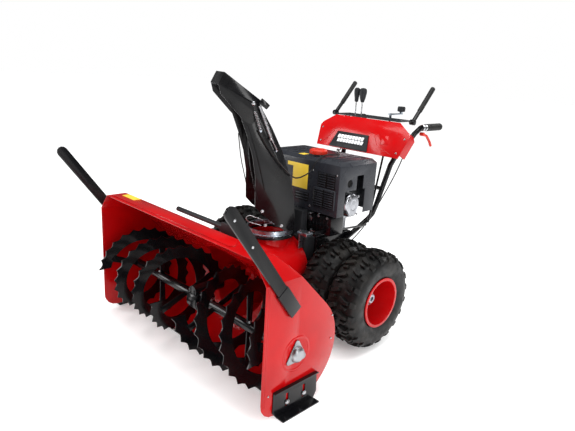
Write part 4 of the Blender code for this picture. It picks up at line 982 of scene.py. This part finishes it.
square.append(
    tube(
        [on_dash(x, u, 0.0001) for x, u in ((0.046, 0.104), (0.076, 0.102), (0.115, 0.045), (0.205, 0.012))],
        0.0013, 0.012
    )
)
square.append(
    tube(
        [
            on_dash(x, u, 0.0001) for x,
            u in ((-0.130, 0.104), (-0.160, 0.102), (-0.190, 0.045), (-0.225, 0.012))
        ],
        0.0013, 0.012
    )
)
finished(joined(square), "dashboard_pressings", "frame", red, "red_enamel")
dash_bolts = [
    hex_bolt(on_dash(s * x, u, 0.0002), dash_out, 0.0030) for s in (1, -1) for x,
    u in ((0.232, 0.024), (0.250, 0.096))
]
finished(joined(dash_bolts), "dashboard_bolts", "frame", bright, "zinc_plate", smooth=50)

finished(
    softened("control_deck", 0.0012), "control_deck_tray", "frame", moulded, "black_plastic",
    "control_deck"
)
rim_z = 0.9045
tray = tube(
    [
        at(x, y, rim_z) for x, y in ((-0.186, 1.131), (0.186, 1.131), (0.186, 1.221), (-0.186, 1.221))
    ] + [at(-0.186, 1.131, rim_z)],
    0.0038, 0.008
)
finished(tray, "control_deck_lip", "frame", moulded, "black_plastic")
for node, name, x, wide in (
    ("shift_lever", "shift_lever_knobbed", -0.075, 0.019),
    ("deflector_lever", "deflector_lever_knobbed", -0.113, 0.015)
):
    foot = at(x, 1.175, 0.970)
    profile = [
        (0, 0), (0.008, 0), (0.0095, 0.004), (wide * 0.72, 0.018), (wide * 0.97, 0.042), (wide, 0.054),
        (wide * 0.90, 0.064), (wide * 0.5, 0.0695), (0, 0.0702)
    ]
    knob = turned(profile, foot, UP, 28)
    finished(knob, name, node, moulded, "black_plastic")
    stem = [turned([(0, 0), (0.0036, 0), (0.0036, 0.121), (0, 0.121)], at(x, 1.175, 0.850), UP, 20)]
    stem.append(
        turned(
            [(0, -0.008), (0.0076, -0.008), (0.008, -0.007), (0.008, 0.007), (0.0076, 0.008), (0, 0.008)],
            at(x, 1.175, 0.850), RIGHT, 24
        )
    )
    finished(joined(stem), node + "_stem", node, bright, "zinc_plate", node)
finished(softened("chute_crank", 0.0008), "chute_crank_handle", "crank", zinc, "zinc_plate", "chute_crank")
knob_shape = [
    (0, 0), (0.0125, 0), (0.0188, 0.0025), (0.0190, 0.006), (0.0190, 0.020), (0.0165, 0.0252), (0, 0.0262)
]
finished(
    turned(knob_shape, at(0.112, 1.248, 0.9400), UP, 36), "chute_crank_knob", "crank", moulded,
    "black_plastic"
)

# ---------------------------------------------------------------- chute drive and stowed shovel
# Two steel rods with a universal joint between them turn the worm beside the ring, under a galvanised
# bracket. The black moulded clean-out shovel is clipped across the bucket's back.
for node, body in (("upper_rod", "upper_rod"), ("lower_rod", "lower_rod")):
    finished(softened(node, 0.0006), node + "_bar", body, black, "black_enamel", node, smooth=48)
finished(
    softened("worm_bracket", 0.0020, 3), "worm_bracket_pressing", "frame", zinc, "zinc_plate",
    "worm_bracket"
)
bracket_bolts = [hex_bolt(at(x, y, 0.4508), UP, 0.0045) for x, y in ((0.122, 0.572), (0.156, 0.590))]
finished(joined(bracket_bolts), "worm_bracket_bolts", "frame", bright, "zinc_plate", smooth=50)
finished(
    softened("clean_out_shovel", 0.0022, 3), "shovel_moulding", "shovel", moulded, "black_plastic",
    "clean_out_shovel"
)

# ---------------------------------------------------------------- control cables
# Steel cables in black plastic sleeves run from the levers down to the drives and across to the deflector.
for node in ("auger_cable", "traction_cable", "deflector_cable"):
    finished(softened(node, 0), node + "_sleeve", "frame", hose, "rubber", node, smooth=60)
